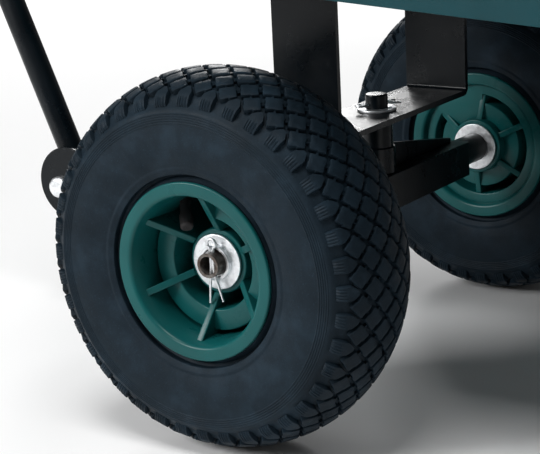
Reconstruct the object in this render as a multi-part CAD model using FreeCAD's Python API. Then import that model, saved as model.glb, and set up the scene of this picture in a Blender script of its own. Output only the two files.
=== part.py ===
import FreeCAD, Part

import math
import os

# A four-wheeled garden dump cart: a steel under-frame on pneumatic wheels, a steered front
# axle under a U-shaped strap, a pull handle on a tongue, and a moulded tub that tips backwards.
# Millimetres, +Z up, +X towards the rear, ground at z = 0, mirror plane at y = 0.

Vector = FreeCAD.Vector
AXIS_Y = Vector(0, 1, 0)
AXIS_Z = Vector(0, 0, 1)

# ---- driving dimensions -------------------------------------------------------------------
WHEELBASE = 640.0                # front kingpin to rear axle
TRACK = 380.0                    # between the mid-planes of the two wheels of an axle
TYRE_DIAMETER = 246.0
TYRE_WIDTH = 84.0
RIM_FLANGE_RADIUS = 57.5
RIM_HALF_WIDTH = 36.0
AXLE_DIAMETER = 16.0
AXLE_BORE = 12.0
TUB_FRONT_OVERHANG = 150.0       # rim ahead of the front axle
TUB_REAR_OVERHANG = 130.0        # rim behind the rear axle
TUB_RIM_WIDTH = 500.0
TUB_DEPTH = 252.0                # from the level lower edge up to the rim
TUB_WALL = 4.0
HANDLE_LENGTH = 760.0            # pivot to the middle of the grip, along the tube
HANDLE_LEAN = 23.2               # degrees that the handle leans forward of upright
HANDLE_DIAMETER = 20.0
STRAP_WIDTH = 50.0
STRAP_THICKNESS = 4.0
STRAP_HALF_SPAN = 91.0           # middle of the cart to the outer face of a strap leg
RAIL_SIZE = 20.0
RAIL_WALL = 2.0
BRACE_ABOVE_AXLE = 12.0          # lower end of a rear brace
BRACE_DEPTH = 35.0
BRACE_REACH_PER_RISE = 1.15      # forward for each millimetre up

# ---- clearances ---------------------------------------------------------------------------
RUNNING_FIT = 0.05               # radial, pin in hole
CLOSE_FIT = 0.05                 # radial, between pieces that don't move on each other
SIDE_GAP = 0.3                   # between faces that move past each other

# ---- wheels and axles ---------------------------------------------------------------------
AXLE_RADIUS = AXLE_DIAMETER / 2
AXLE_Z = TYRE_DIAMETER / 2
WHEEL_Y = TRACK / 2
TYRE_WALL = 7.5
FLANGE_THICKNESS = 3.0
BARREL_RADIUS = 50.7
BARREL_WALL = 3.7
HUB_RADIUS = 21.0
HUB_INNER = 41.0                 # hub end towards the cart, from the wheel's mid-plane
HUB_OUTER = 10.0                 # hub end away from the cart
BEARING_RADIUS = 17.5
BEARING_LENGTH = 11.0
RIB_COUNT = 6
RIB_THICKNESS = 4.6
RIB_PHASE = 146.0                # degrees of the first rib above the rearward direction
RIB_INNER_INSET = 6.0            # rib inside the barrel's ends, towards the cart
RIB_OUTER_INSET = 7.5            # and away from it
RIB_STAND = 1.0                  # rib beyond the hub's outer end
WEB_THICKNESS = 3.5
WEB_FACE = -30.0                 # flat web, from the mid-plane
BAND_FACE = 17.0                 # raised band in all but one of the spaces between the ribs
BAND_INNER = 30.0
BAND_OUTER = 43.5
VALVE_RADIUS = 3.6
VALVE_LENGTH = 27.0
VALVE_CAP_LENGTH = 9.0
VALVE_SLANT = 39.0               # degrees from the wheel's mid-plane, towards the outer side
VALVE_BEFORE_RIB = 16.0          # degrees
AXLE_END = RIM_HALF_WIDTH - 14.0     # axle end beyond the wheel's mid-plane
WASHER_RADIUS = 18.0
WASHER_THICKNESS = 2.0
COLLAR_RADIUS = 11.5
COLLAR_THICKNESS = 3.0
SPACER_RADIUS = 11.0
COTTER_WIRE = 1.6
COTTER_REACH = 26.0              # length of a cotter pin below the axle centre
COTTER_TURN = -30.0              # direction of the kingpin's cotter pin about Z

# ---- steering -----------------------------------------------------------------------------
BEAM_WIDTH = 30.0
BEAM_HEIGHT = 26.0
BEAM_WALL = 3.0
BEAM_INSET = 80.0                # beam end inside the wheel's mid-plane
POST_LOWER_RADIUS = 12.5
POST_UPPER_RADIUS = 11.0
POST_LOWER_HEIGHT = 19.0
POST_UPPER_HEIGHT = 20.0
KINGPIN_RADIUS = 8.0
KINGPIN_STAND = 10.0             # above the upper washer
KING_WASHER_RADIUS = 14.0
GUSSET_THICKNESS = 4.0
GUSSET_END_HEIGHT = 3.0
STRAP_BEND = 6.0

# ---- tongue and handle --------------------------------------------------------------------
PIVOT_X = -286.0
PIVOT_DROP = 22.0                # handle pivot below the axle centre
PIVOT_RADIUS = 5.0
TONGUE_HALF_WIDTH = 12.0
TONGUE_HEIGHT = 20.0
TONGUE_WALL = 2.0
EYE_RADIUS = 13.0
EYE_HALF_WIDTH = 14.0
BUSH_RADIUS = 8.0
EAR_INNER = 15.5
EAR_THICKNESS = 2.5
EAR_RADIUS = 29.0
TUBE_OFFSET = 9.7                # handle tube axis behind the pivot
SOCKET_START = 15.3              # lower end of the tube socket above the pivot
SOCKET_END = 24.0
HANDLE_WALL = 2.0
LOOP_ROD_RADIUS = 8.0
LOOP_HALF_WIDTH = 62.0
LOOP_HEIGHT = 100.0
LOOP_BEND = 12.0
GRIP_RADIUS = 15.0
GRIP_HALF_LENGTH = 38.0
GRIP_EDGE = 4.0                  # rounding of the grip's ends

# ---- tub ----------------------------------------------------------------------------------
WHEEL_TO_TUB = 34.5              # lower edge of the tub above the tyres
TUB_EDGE_Z = TYRE_DIAMETER + WHEEL_TO_TUB
TUB_RIM_Z = TUB_EDGE_Z + TUB_DEPTH
TUB_LIP = 12.0
TUB_LIP_DROP = 12.0
TUB_SKIRT = 12.0                 # side edges below the floor
TUB_FRONT_SLOPE = 58.0           # how far the front wall leans out over its height
TUB_REAR_SLOPE = 118.0
TUB_SIDE_SLOPE = 38.0
TUB_LOWER_CORNER = 50.0
TUB_UPPER_CORNER = 80.0
FLOOR_KINK_X = 240.0             # the floor is level behind this, and rises in front of it
FLOOR_RISE = 0.0727
PAD_THICKNESS = 3.7
PAD_LENGTH = 30.0
PAD_WIDTH = 16.0
PAD_BEHIND_FRONT = 110.0         # front pads behind the front end of the floor
PAD_BEHIND_KINK = 40.0
PAD_BEFORE_AXLE = 90.0
RECESS_MARGIN = 6.0

# ---- tub hinge and latch ------------------------------------------------------------------
HINGE_BEHIND_AXLE = 50.0
HINGE_PIN_RADIUS = 5.0
HINGE_PLATE_THICKNESS = 4.0
HINGE_PLATE_LENGTH = 80.0        # along the tub's floor
HINGE_FLANGE_WIDTH = 30.0
HINGE_EYE_RADIUS = 11.0
HINGE_PLATE_INSET = 6.5          # hinge plates inside the strap's legs, past the bolt heads
RAIL_END_BEYOND_PIN = 15.0
CROSS_BEHIND_LATCH = 34.0        # front cross member behind the latch pin
CROSS_BEFORE_AXLE = 120.0        # rear cross member ahead of the rear axle
RAIL_BEHIND_LATCH = 14.0         # front ends of the rails
BOLT_RADIUS = 4.0
LATCH_PIN_RADIUS = 4.0
LATCH_INSET = 6.0                # latch pin behind the front of the tub's floor
LATCH_ARM = 27.0                 # latch pin to striker rod
LATCH_OPEN_ANGLE = 45.0
LATCH_THICKNESS = 8.0
LATCH_TAIL = 90.0
LATCH_BRACKET_Y = 14.0           # inner face of a latch bracket
LATCH_BRACKET_THICKNESS = 4.0
LATCH_EAR_RADIUS = 9.0
LATCH_BOSS_RADIUS = 10.0
LATCH_SLEEVE_RADIUS = 7.0
LATCH_ARM_WIDTH = 16.0
STRIKER_ROD_RADIUS = 4.0
STRIKER_HALF_WIDTH = 20.0
STRIKER_DROP = 14.0              # rod centre below the tub's floor
STRIKER_PLATE = 3.0
STRIKER_TAB = 16.0               # length of a tab along X
STRIKER_TAB_THICKNESS = 4.0
STRIKER_FOOT_WIDTH = 20.0        # bolted part of the plate beside each tab
LATCH_HEAD_GAP = 1.2             # closed hook below the striker's plate
BOLT_HEAD_RADIUS = 8.0

# ---- values that follow -------------------------------------------------------------------
BEAM_HALF_LENGTH = WHEEL_Y - BEAM_INSET
BEAM_TOP = AXLE_Z + BEAM_HEIGHT / 2
POST_STEP_Z = BEAM_TOP + POST_LOWER_HEIGHT
POST_TOP = POST_STEP_Z + POST_UPPER_HEIGHT
STRAP_UNDERSIDE = POST_TOP + WASHER_THICKNESS
STRAP_TOP = STRAP_UNDERSIDE + STRAP_THICKNESS
KINGPIN_TOP = STRAP_TOP + WASHER_THICKNESS + KINGPIN_STAND
REAR_STRAP_BOTTOM = AXLE_Z - 26.0
PIVOT_Z = AXLE_Z - PIVOT_DROP
RAIL_OUTER = STRAP_HALF_SPAN + RAIL_SIZE
TUB_RIM_REAR = WHEELBASE + TUB_REAR_OVERHANG
TUB_RIM_FRONT = -TUB_FRONT_OVERHANG
TUB_FLOOR_FRONT = TUB_RIM_FRONT + TUB_LIP + TUB_FRONT_SLOPE
TUB_FLOOR_REAR = TUB_RIM_REAR - TUB_LIP - TUB_REAR_SLOPE
TUB_FLOOR_HALF = TUB_RIM_WIDTH / 2 - TUB_LIP - TUB_SIDE_SLOPE
LATCH_X = TUB_FLOOR_FRONT + LATCH_INSET
CROSS_FRONT_X = LATCH_X + CROSS_BEHIND_LATCH
CROSS_REAR_X = WHEELBASE - CROSS_BEFORE_AXLE
RAIL_FRONT_X = LATCH_X + RAIL_BEHIND_LATCH
HINGE_X = WHEELBASE + HINGE_BEHIND_AXLE
RAIL_REAR_X = HINGE_X + RAIL_END_BEYOND_PIN
LEAN = math.radians(HANDLE_LEAN)
GRIP_X = PIVOT_X + TUBE_OFFSET * math.cos(LEAN) - HANDLE_LENGTH * math.sin(LEAN)
FRONT_END = GRIP_X - GRIP_RADIUS
ORIGIN_X = (FRONT_END + TUB_RIM_REAR) / 2    # the part's origin, under the middle of its length


# ---- heights along the floor --------------------------------------------------------------
def edge_z(x):
    """Lower edge of the tub's side: level at the rear, rising towards the front."""
    return TUB_EDGE_Z + FLOOR_RISE * max(0.0, FLOOR_KINK_X - x)


def floor_z(x):
    """Underside of the tub's floor."""
    return edge_z(x) + TUB_SKIRT


def rail_top(x):
    """Top of a side rail, a rubber pad and a small gap below the floor."""
    return floor_z(x) - PAD_THICKNESS - SIDE_GAP


HINGE_Z = rail_top(HINGE_X) - RAIL_SIZE / 2
STRIKER_Z = floor_z(LATCH_X) - STRIKER_DROP
LATCH_PIN_Z = STRIKER_Z - LATCH_ARM
LATCH_HEAD_RADIUS = STRIKER_DROP - STRIKER_PLATE - LATCH_HEAD_GAP


# ---- basic shapes -------------------------------------------------------------------------
def box(x0, x1, y0, y1, z0, z1):
    return Part.makeBox(x1 - x0, y1 - y0, z1 - z0, Vector(x0, y0, z0))


def rod_y(x, z, radius, y0, y1):
    """Cylinder along Y."""
    return Part.makeCylinder(radius, y1 - y0, Vector(x, y0, z), AXIS_Y)


def rod_z(x, y, radius, z0, z1):
    """Cylinder along Z."""
    return Part.makeCylinder(radius, z1 - z0, Vector(x, y, z0), AXIS_Z)


def ring_y(x, z, outer, inner, y0, y1):
    return rod_y(x, z, outer, y0, y1).cut(rod_y(x, z, inner, y0 - 1, y1 + 1))


def ring_z(x, y, outer, inner, z0, z1):
    return rod_z(x, y, outer, z0, z1).cut(rod_z(x, y, inner, z0 - 1, z1 + 1))


def plate_xz(points, y0, y1):
    """Flat plate with a polygon outline in XZ, from y0 to y1."""
    corners = [Vector(x, y0, z) for x, z in points]
    outline = Part.makePolygon(corners + corners[:1])
    return Part.Face(outline).extrude(Vector(0, y1 - y0, 0))


def plate_yz(points, x0, x1):
    """Flat plate with a polygon outline in YZ, from x0 to x1."""
    corners = [Vector(x0, y, z) for y, z in points]
    outline = Part.makePolygon(corners + corners[:1])
    return Part.Face(outline).extrude(Vector(x1 - x0, 0, 0))


def hexagon(centre, direction, across_flats, height):
    """Hexagonal prism whose base is centred at centre and which rises along direction."""
    radius = across_flats / math.sqrt(3)
    angles = [math.radians(60 * i) for i in range(7)]
    corners = [Vector(radius * math.cos(angle), radius * math.sin(angle), 0) for angle in angles]
    prism = Part.Face(Part.makePolygon(corners)).extrude(Vector(0, 0, height))
    prism.Placement = FreeCAD.Placement(centre, FreeCAD.Rotation(AXIS_Z, direction))
    return prism


def mirrored(shape):
    """The same piece on the other side of the cart."""
    return shape.mirror(Vector(0, 0, 0), AXIS_Y)


def both_sides(shape):
    return [shape, mirrored(shape)]


def fused(shapes):
    """One solid from touching shapes."""
    body = shapes[0].multiFuse(shapes[1:])
    return body.removeSplitter()


def bolt_along_y(x, z, radius, y_head, y_end, grip_end):
    """Hex bolt whose head's bearing face is at y_head, with a nut seated at grip_end.

    y_end is the tip of the shank; bolt and nut are two solids."""
    sign = 1 if y_end > y_head else -1
    direction = Vector(0, sign, 0)
    head_height = radius * 1.3
    head = hexagon(Vector(x, y_head - sign * head_height, z), direction, radius * 3.2, head_height)
    shank = Part.makeCylinder(radius, abs(y_end - y_head), Vector(x, y_head, z), direction)
    nut = hexagon(Vector(x, grip_end, z), direction, radius * 3.2, radius * 1.6)
    hole = Part.makeCylinder(radius + CLOSE_FIT, radius * 2, Vector(x, grip_end - sign, z), direction)
    return [fused([head, shank]), nut.cut(hole)]


def cotter_pin(shaft_radius, reach, splay):
    """Split pin along -Z through a cross hole at the origin: eye on top, two splayed legs.

    The two wires lie side by side, and open beyond the shaft."""
    shank = Part.makeCylinder(COTTER_WIRE, 2 * shaft_radius + 2, Vector(0, 0, -shaft_radius - 1), AXIS_Z)
    eye_height = shaft_radius + 1 + 3.2
    eye = Part.makeTorus(3.2, 1.2, Vector(0, 0, eye_height), Vector(1, 0, 0))
    legs = []
    for sign in (-1, 1):
        angle = math.radians(splay) * sign
        direction = Vector(0, math.sin(angle), -math.cos(angle))
        length = (reach - shaft_radius) / math.cos(angle)
        legs.append(Part.makeCylinder(1.1, length, Vector(0, 0, -shaft_radius), direction))
    return fused([shank, eye] + legs)


# ---- wheel --------------------------------------------------------------------------------
# A wheel is made about the Y axis through the origin, with its outer side towards +Y.
def revolved(points_and_arcs, angle=360):
    """Solid of revolution about Y of a closed outline in (y, radius)."""
    edges = []
    for points in points_and_arcs:
        corners = [Vector(radius, y, 0) for y, radius in points]
        if len(points) == 3:
            edges.append(Part.Arc(*corners).toShape())
        else:
            edges.append(Part.LineSegment(*corners).toShape())
    face = Part.Face(Part.Wire(edges))
    return face.revolve(Vector(0, 0, 0), AXIS_Y, angle)


def tyre_outline(inset, bead_inset, foot_radius):
    """Outline of the tyre's section, or of the space inside it, drawn inset from the outside.

    Straight beads, a bulging sidewall arc on each side and a crown arc between the shoulders."""
    half = TYRE_WIDTH / 2
    bead_y = RIM_HALF_WIDTH - FLANGE_THICKNESS - SIDE_GAP - bead_inset
    bead_top = RIM_FLANGE_RADIUS + 1.5
    outer = TYRE_DIAMETER / 2
    belly_radius = (bead_top + outer) / 2 - 1.5
    shoulder = (half - 5.0 - inset, outer - 11.0 - inset)
    belly = (half - inset, belly_radius)
    bead_high = (bead_y, bead_top + inset / 2)
    bead_low = (bead_y, foot_radius)
    return bead_low, bead_high, belly, shoulder, (0.0, outer - inset)


def outline_edges(bead_low, bead_high, belly, shoulder, crown):
    """Closed list of lines and arcs, right side up, over the crown and down the left side."""
    def left(point):
        return (-point[0], point[1])
    return [(bead_low, bead_high), (bead_high, belly, shoulder), (shoulder, crown, left(shoulder)),
            (left(shoulder), left(belly), left(bead_high)), (left(bead_high), left(bead_low)),
            (left(bead_low), bead_low)]


def make_tyre():
    foot = BARREL_RADIUS + SIDE_GAP
    outside = revolved(outline_edges(*tyre_outline(0.0, 0.0, foot)))
    cavity = revolved(outline_edges(*tyre_outline(TYRE_WALL, 13.0, foot - 1.0)))
    return outside.cut(cavity)


def make_inner_tube():
    foot = BARREL_RADIUS + 2 * SIDE_GAP
    outside = revolved(outline_edges(*tyre_outline(TYRE_WALL + SIDE_GAP, 13.0 + SIDE_GAP, foot)))
    inside = revolved(outline_edges(*tyre_outline(TYRE_WALL + 2.3, 15.3, foot + 2.0)))
    return outside.cut(inside)


def valve_axis():
    """Foot and direction of the valve stem, leaning outwards from the barrel's floor."""
    slant = math.radians(VALVE_SLANT)
    return Vector(BARREL_RADIUS + SIDE_GAP, 0, 0), Vector(-math.cos(slant), math.sin(slant), 0)


def place_valve(shape):
    return shape.rotated(Vector(0, 0, 0), AXIS_Y, VALVE_BEFORE_RIB - RIB_PHASE)


def polygon_edges(points):
    """Closed list of straight edges."""
    return list(zip(points, points[1:] + points[:1]))


def make_rim():
    """Barrel with two flanges, web, raised band, hub and ribs, fused and then bored."""
    inner = BARREL_RADIUS - BARREL_WALL
    half = RIM_HALF_WIDTH
    seat = half - FLANGE_THICKNESS
    flange = RIM_FLANGE_RADIUS
    barrel_outline = [(half, inner), (half, flange), (seat, flange), (seat, BARREL_RADIUS),
                      (-seat, BARREL_RADIUS), (-seat, flange), (-half, flange), (-half, inner)]
    shell = revolved(polygon_edges(barrel_outline))
    wall = WEB_THICKNESS
    hub_root = HUB_RADIUS - 1
    rim_root = inner + 1
    web = revolved(polygon_edges([(WEB_FACE, hub_root), (WEB_FACE, rim_root),
                                  (WEB_FACE - wall, rim_root), (WEB_FACE - wall, hub_root)]))
    root = WEB_FACE - wall / 2
    back = WEB_FACE - 2 * wall
    hollow = [(back, BAND_INNER + wall), (BAND_FACE - wall, BAND_INNER + wall),
              (BAND_FACE - wall, BAND_OUTER - wall), (back, BAND_OUTER - wall)]
    block = [(root, BAND_INNER), (BAND_FACE, BAND_INNER), (BAND_FACE, BAND_OUTER), (root, BAND_OUTER)]
    rib_turn = 360 / RIB_COUNT
    block, hollow = [revolved(polygon_edges(outline), 360 - rib_turn).rotated(
        Vector(0, 0, 0), AXIS_Y, rib_turn - RIB_PHASE) for outline in (block, hollow)]
    web = fused([web, block]).cut(hollow)
    hub = rod_y(0, 0, HUB_RADIUS, -HUB_INNER, HUB_OUTER)
    rib_outline = [Vector(hub_root, -HUB_INNER + 3, 0), Vector(rim_root, -half + RIB_INNER_INSET, 0),
                   Vector(rim_root, half - RIB_OUTER_INSET, 0), Vector(hub_root, HUB_OUTER + RIB_STAND, 0)]
    rib = Part.Face(Part.makePolygon(rib_outline + rib_outline[:1])).extrude(Vector(0, 0, RIB_THICKNESS))
    rib.translate(Vector(0, 0, -RIB_THICKNESS / 2))
    turns = [RIB_PHASE + rib_turn * i for i in range(RIB_COUNT)]
    ribs = [rib.rotated(Vector(0, 0, 0), AXIS_Y, -turn) for turn in turns]
    body = fused([shell, web, hub] + ribs)
    pocket = BEARING_RADIUS + CLOSE_FIT
    cuts = [rod_y(0, 0, pocket, -HUB_INNER - 1, -HUB_INNER + BEARING_LENGTH),
            rod_y(0, 0, pocket, HUB_OUTER - BEARING_LENGTH, HUB_OUTER + 1),
            rod_y(0, 0, BEARING_RADIUS - 4, -HUB_INNER, HUB_OUTER)]
    foot, direction = valve_axis()
    start = foot - direction * 2
    stem_hole = Part.makeCylinder(VALVE_RADIUS + SIDE_GAP, 3 * BARREL_WALL, start, direction)
    return body.cut(cuts + [place_valve(stem_hole)])


def make_bearings():
    inner = AXLE_RADIUS + RUNNING_FIT
    return [ring_y(0, 0, BEARING_RADIUS, inner, -HUB_INNER, -HUB_INNER + BEARING_LENGTH),
            ring_y(0, 0, BEARING_RADIUS, inner, HUB_OUTER - BEARING_LENGTH, HUB_OUTER)]


def make_valve():
    """Stem whose foot follows the barrel's seat, with a cap on its free end."""
    foot, direction = valve_axis()
    start = foot - direction * 2 * VALVE_RADIUS
    stem = Part.makeCylinder(VALVE_RADIUS, VALVE_LENGTH + VALVE_RADIUS, start, direction)
    stem = stem.common(rod_y(0, 0, BARREL_RADIUS + SIDE_GAP, -RIM_HALF_WIDTH, RIM_HALF_WIDTH))
    cap_start = VALVE_LENGTH - VALVE_CAP_LENGTH
    cap = Part.makeCylinder(VALVE_RADIUS + 1, VALVE_CAP_LENGTH, foot + direction * cap_start, direction)
    return place_valve(fused([stem, cap]))


def place_wheel(shape, axle_x, side):
    """side is -1 for the left wheel and +1 for the right one; the outer side faces away."""
    placed = shape if side > 0 else mirrored(shape)
    return placed.translated(Vector(axle_x, side * WHEEL_Y, AXLE_Z))


# ---- axle fittings, shared by the front and the rear axle ---------------------------------
def axle_tube(axle_x):
    length = WHEEL_Y + AXLE_END
    tube = ring_y(axle_x, AXLE_Z, AXLE_RADIUS, AXLE_BORE / 2, -length, length)
    for side in (-1, 1):
        tube = tube.cut(rod_z(axle_x, side * cotter_y(), COTTER_WIRE + 0.2, 0, TYRE_DIAMETER))
    return tube


def cotter_y():
    """Distance of the axle's cotter pins from the middle of the cart."""
    return WHEEL_Y + HUB_OUTER + SIDE_GAP + WASHER_THICKNESS + COLLAR_THICKNESS + COTTER_WIRE


def axle_spacers(axle_x, start):
    """Distance tubes from the frame or the beam out to the inner washers."""
    end = WHEEL_Y - HUB_INNER - SIDE_GAP - WASHER_THICKNESS
    return both_sides(ring_y(axle_x, AXLE_Z, SPACER_RADIUS, AXLE_RADIUS + CLOSE_FIT, start, end))


def axle_washers(axle_x):
    """An inner washer and an outer washer with its raised collar, for each wheel."""
    bore = AXLE_RADIUS + CLOSE_FIT
    inner_face = WHEEL_Y - HUB_INNER - SIDE_GAP
    outer_face = WHEEL_Y + HUB_OUTER + SIDE_GAP
    inner = ring_y(axle_x, AXLE_Z, WASHER_RADIUS, bore, inner_face - WASHER_THICKNESS, inner_face)
    outer = fused([ring_y(axle_x, AXLE_Z, WASHER_RADIUS, bore, outer_face, outer_face + WASHER_THICKNESS),
                   ring_y(axle_x, AXLE_Z, COLLAR_RADIUS, bore, outer_face,
                          outer_face + WASHER_THICKNESS + COLLAR_THICKNESS)])
    return both_sides(inner) + both_sides(outer)


def axle_cotters(axle_x):
    pin = cotter_pin(AXLE_RADIUS, COTTER_REACH, 14.0)
    pin.rotate(Vector(0, 0, 0), AXIS_Z, 90)
    return both_sides(pin.translated(Vector(axle_x, cotter_y(), AXLE_Z)))


# ---- chassis ------------------------------------------------------------------------------
def rail_outline(x0, x1, inset):
    """Side view of a rail: level at the rear and rising in front of the kink."""
    tops = [(x, rail_top(x) - inset) for x in (x0, FLOOR_KINK_X, x1)]
    bottoms = [(x, z - RAIL_SIZE + 2 * inset) for x, z in reversed(tops)]
    return tops + bottoms


def strap_bolt_places():
    """Bolt centres, in X and Z, of both straps' legs."""
    return [(x + side * STRAP_WIDTH / 4, rail_top(x) - RAIL_SIZE / 2)
            for x in (0.0, WHEELBASE) for side in (-1, 1)]


def make_side_rail():
    outer = plate_xz(rail_outline(RAIL_FRONT_X, RAIL_REAR_X, 0.0), STRAP_HALF_SPAN, RAIL_OUTER)
    hollow = plate_xz(rail_outline(RAIL_FRONT_X - 1, RAIL_REAR_X + 1, RAIL_WALL),
                      STRAP_HALF_SPAN + RAIL_WALL, RAIL_OUTER - RAIL_WALL)
    rail = outer.cut(hollow)
    for x, z in strap_bolt_places():
        rail = rail.cut(rod_y(x, z, BOLT_RADIUS + CLOSE_FIT, STRAP_HALF_SPAN - 1, RAIL_OUTER + 1))
    pin_hole = rod_y(HINGE_X, HINGE_Z, HINGE_PIN_RADIUS + CLOSE_FIT, STRAP_HALF_SPAN - 1, RAIL_OUTER + 1)
    return rail.cut(pin_hole)


def make_cross_member(x):
    half = RAIL_SIZE / 2
    top = rail_top(x + half)
    outer = box(x - half, x + half, -STRAP_HALF_SPAN, STRAP_HALF_SPAN, top - RAIL_SIZE, top)
    inner = box(x - half + RAIL_WALL, x + half - RAIL_WALL, -STRAP_HALF_SPAN - 1, STRAP_HALF_SPAN + 1,
                top - RAIL_SIZE + RAIL_WALL, top - RAIL_WALL)
    return outer.cut(inner)


def make_strap(x, bottom):
    """U-shaped strap: a flat plate bent up into two legs, bolted inside the rails."""
    half = STRAP_WIDTH / 2
    top = rail_top(x + half) - 1.0
    outer = box(x - half, x + half, -STRAP_HALF_SPAN, STRAP_HALF_SPAN, bottom, top)
    lower_edges = [edge for edge in outer.Edges
                   if abs(edge.CenterOfMass.z - bottom) < 0.01 and abs(edge.CenterOfMass.y) > 1]
    outer = outer.makeFillet(STRAP_BEND, lower_edges)
    span = STRAP_HALF_SPAN - STRAP_THICKNESS
    inner = box(x - half - 1, x + half + 1, -span, span, bottom + STRAP_THICKNESS, top + 1)
    inner_edges = [edge for edge in inner.Edges
                   if abs(edge.CenterOfMass.z - bottom - STRAP_THICKNESS) < 0.01
                   and abs(edge.CenterOfMass.y) > 1]
    inner = inner.makeFillet(STRAP_BEND - STRAP_THICKNESS, inner_edges)
    strap = outer.cut(inner)
    for bolt_x, bolt_z in strap_bolt_places():
        strap = strap.cut(rod_y(bolt_x, bolt_z, BOLT_RADIUS + CLOSE_FIT, -STRAP_HALF_SPAN - 1,
                                STRAP_HALF_SPAN + 1))
    return strap


def make_steering_strap():
    hole = rod_z(0, 0, KINGPIN_RADIUS + RUNNING_FIT, STRAP_UNDERSIDE - 1, STRAP_TOP + 1)
    return make_strap(0.0, STRAP_UNDERSIDE).cut(hole)


def make_rear_strap():
    hole = rod_y(WHEELBASE, AXLE_Z, AXLE_RADIUS + CLOSE_FIT, -STRAP_HALF_SPAN - 1, STRAP_HALF_SPAN + 1)
    return make_strap(WHEELBASE, REAR_STRAP_BOTTOM).cut(hole)


def make_strap_bolts():
    pieces = []
    head_face = STRAP_HALF_SPAN - STRAP_THICKNESS
    for x, z in strap_bolt_places():
        for piece in bolt_along_y(x, z, BOLT_RADIUS, head_face, RAIL_OUTER + 9, RAIL_OUTER):
            pieces += both_sides(piece)
    return pieces


def make_rear_braces():
    """Flat struts from the rear strap's legs forward and up to the rails' inner sides."""
    front = WHEELBASE - STRAP_WIDTH / 2
    foot_z = AXLE_Z + BRACE_ABOVE_AXLE
    top_x = front - BRACE_REACH_PER_RISE * (rail_top(front) - foot_z)
    top_z = rail_top(top_x) - RAIL_WALL
    points = [(front, foot_z), (front, foot_z + BRACE_DEPTH), (top_x + BRACE_DEPTH, top_z), (top_x, top_z)]
    return both_sides(plate_xz(points, STRAP_HALF_SPAN - STRAP_THICKNESS, STRAP_HALF_SPAN))


def make_rubber_rests():
    pads = []
    middle = (STRAP_HALF_SPAN + RAIL_OUTER) / 2
    places = [TUB_FLOOR_FRONT + PAD_BEHIND_FRONT, FLOOR_KINK_X + PAD_BEHIND_KINK, WHEELBASE - PAD_BEFORE_AXLE]
    for x in places:
        x0 = x - PAD_LENGTH / 2
        x1 = x + PAD_LENGTH / 2
        outline = [(x0, rail_top(x0)), (x1, rail_top(x1)), (x1, rail_top(x1) + PAD_THICKNESS),
                   (x0, rail_top(x0) + PAD_THICKNESS)]
        pads += both_sides(plate_xz(outline, middle - PAD_WIDTH / 2, middle + PAD_WIDTH / 2))
    return pads


def make_hinge_pin():
    end = RAIL_OUTER + 8.0
    return rod_y(HINGE_X, HINGE_Z, HINGE_PIN_RADIUS, -end, end)


def make_hinge_pin_clips():
    return both_sides(ring_y(HINGE_X, HINGE_Z, 10.0, HINGE_PIN_RADIUS + CLOSE_FIT, RAIL_OUTER + SIDE_GAP,
                             RAIL_OUTER + 4.0))


# ---- steering -----------------------------------------------------------------------------
def make_axle_beam():
    half = BEAM_WIDTH / 2
    bottom = BEAM_TOP - BEAM_HEIGHT
    outer = box(-half, half, -BEAM_HALF_LENGTH, BEAM_HALF_LENGTH, bottom, BEAM_TOP)
    inner = box(-half + BEAM_WALL, half - BEAM_WALL, -BEAM_HALF_LENGTH + BEAM_WALL,
                BEAM_HALF_LENGTH - BEAM_WALL, bottom + BEAM_WALL, BEAM_TOP - BEAM_WALL)
    bore = rod_y(0, AXLE_Z, AXLE_RADIUS + CLOSE_FIT, -BEAM_HALF_LENGTH - 1, BEAM_HALF_LENGTH + 1)
    return outer.cut([inner, bore])


def make_gussets():
    """Upright plates on the beam, high at the steering post and low at the beam's ends."""
    end = BEAM_HALF_LENGTH - 5.0
    outline = [(0, BEAM_TOP), (end, BEAM_TOP), (end, BEAM_TOP + GUSSET_END_HEIGHT), (0, POST_STEP_Z + 2)]
    plate = plate_yz(outline, -GUSSET_THICKNESS / 2, GUSSET_THICKNESS / 2)
    post = rod_z(0, 0, POST_LOWER_RADIUS, BEAM_TOP - 1, POST_TOP)
    return both_sides(plate.cut(post))


def make_steering_post():
    lower = rod_z(0, 0, POST_LOWER_RADIUS, BEAM_TOP, POST_STEP_Z)
    upper = rod_z(0, 0, POST_UPPER_RADIUS, POST_STEP_Z, POST_TOP)
    bore = rod_z(0, 0, KINGPIN_RADIUS + CLOSE_FIT, BEAM_TOP - 1, POST_TOP + 1)
    return fused([lower, upper]).cut(bore)


def kingpin_cotter_z():
    return STRAP_TOP + WASHER_THICKNESS + COTTER_WIRE + 1.2


def make_kingpin():
    pin = rod_z(0, 0, KINGPIN_RADIUS, BEAM_TOP, KINGPIN_TOP)
    edges = [edge for edge in pin.Edges if abs(edge.CenterOfMass.z - KINGPIN_TOP) < 0.01]
    pin = pin.makeChamfer(0.8, edges)
    hole = rod_y(0, kingpin_cotter_z(), COTTER_WIRE + 0.2, -KINGPIN_RADIUS - 1, KINGPIN_RADIUS + 1)
    hole.rotate(Vector(0, 0, 0), AXIS_Z, COTTER_TURN)
    return pin.cut(hole)


def make_kingpin_cotter():
    pin = cotter_pin(KINGPIN_RADIUS, KINGPIN_RADIUS + 9.0, 24.0)
    pin.rotate(Vector(0, 0, 0), AXIS_Z, 90)
    pin.rotate(Vector(0, 0, 0), Vector(1, 0, 0), 90)
    pin.rotate(Vector(0, 0, 0), AXIS_Z, COTTER_TURN)
    return pin.translated(Vector(0, 0, kingpin_cotter_z()))


def make_kingpin_washers():
    """The thrust washer under the strap and the washer on top of it."""
    bore = KINGPIN_RADIUS + RUNNING_FIT
    return [ring_z(0, 0, KING_WASHER_RADIUS, bore, POST_TOP, STRAP_UNDERSIDE),
            ring_z(0, 0, KING_WASHER_RADIUS, bore, STRAP_TOP, STRAP_TOP + WASHER_THICKNESS)]


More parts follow.
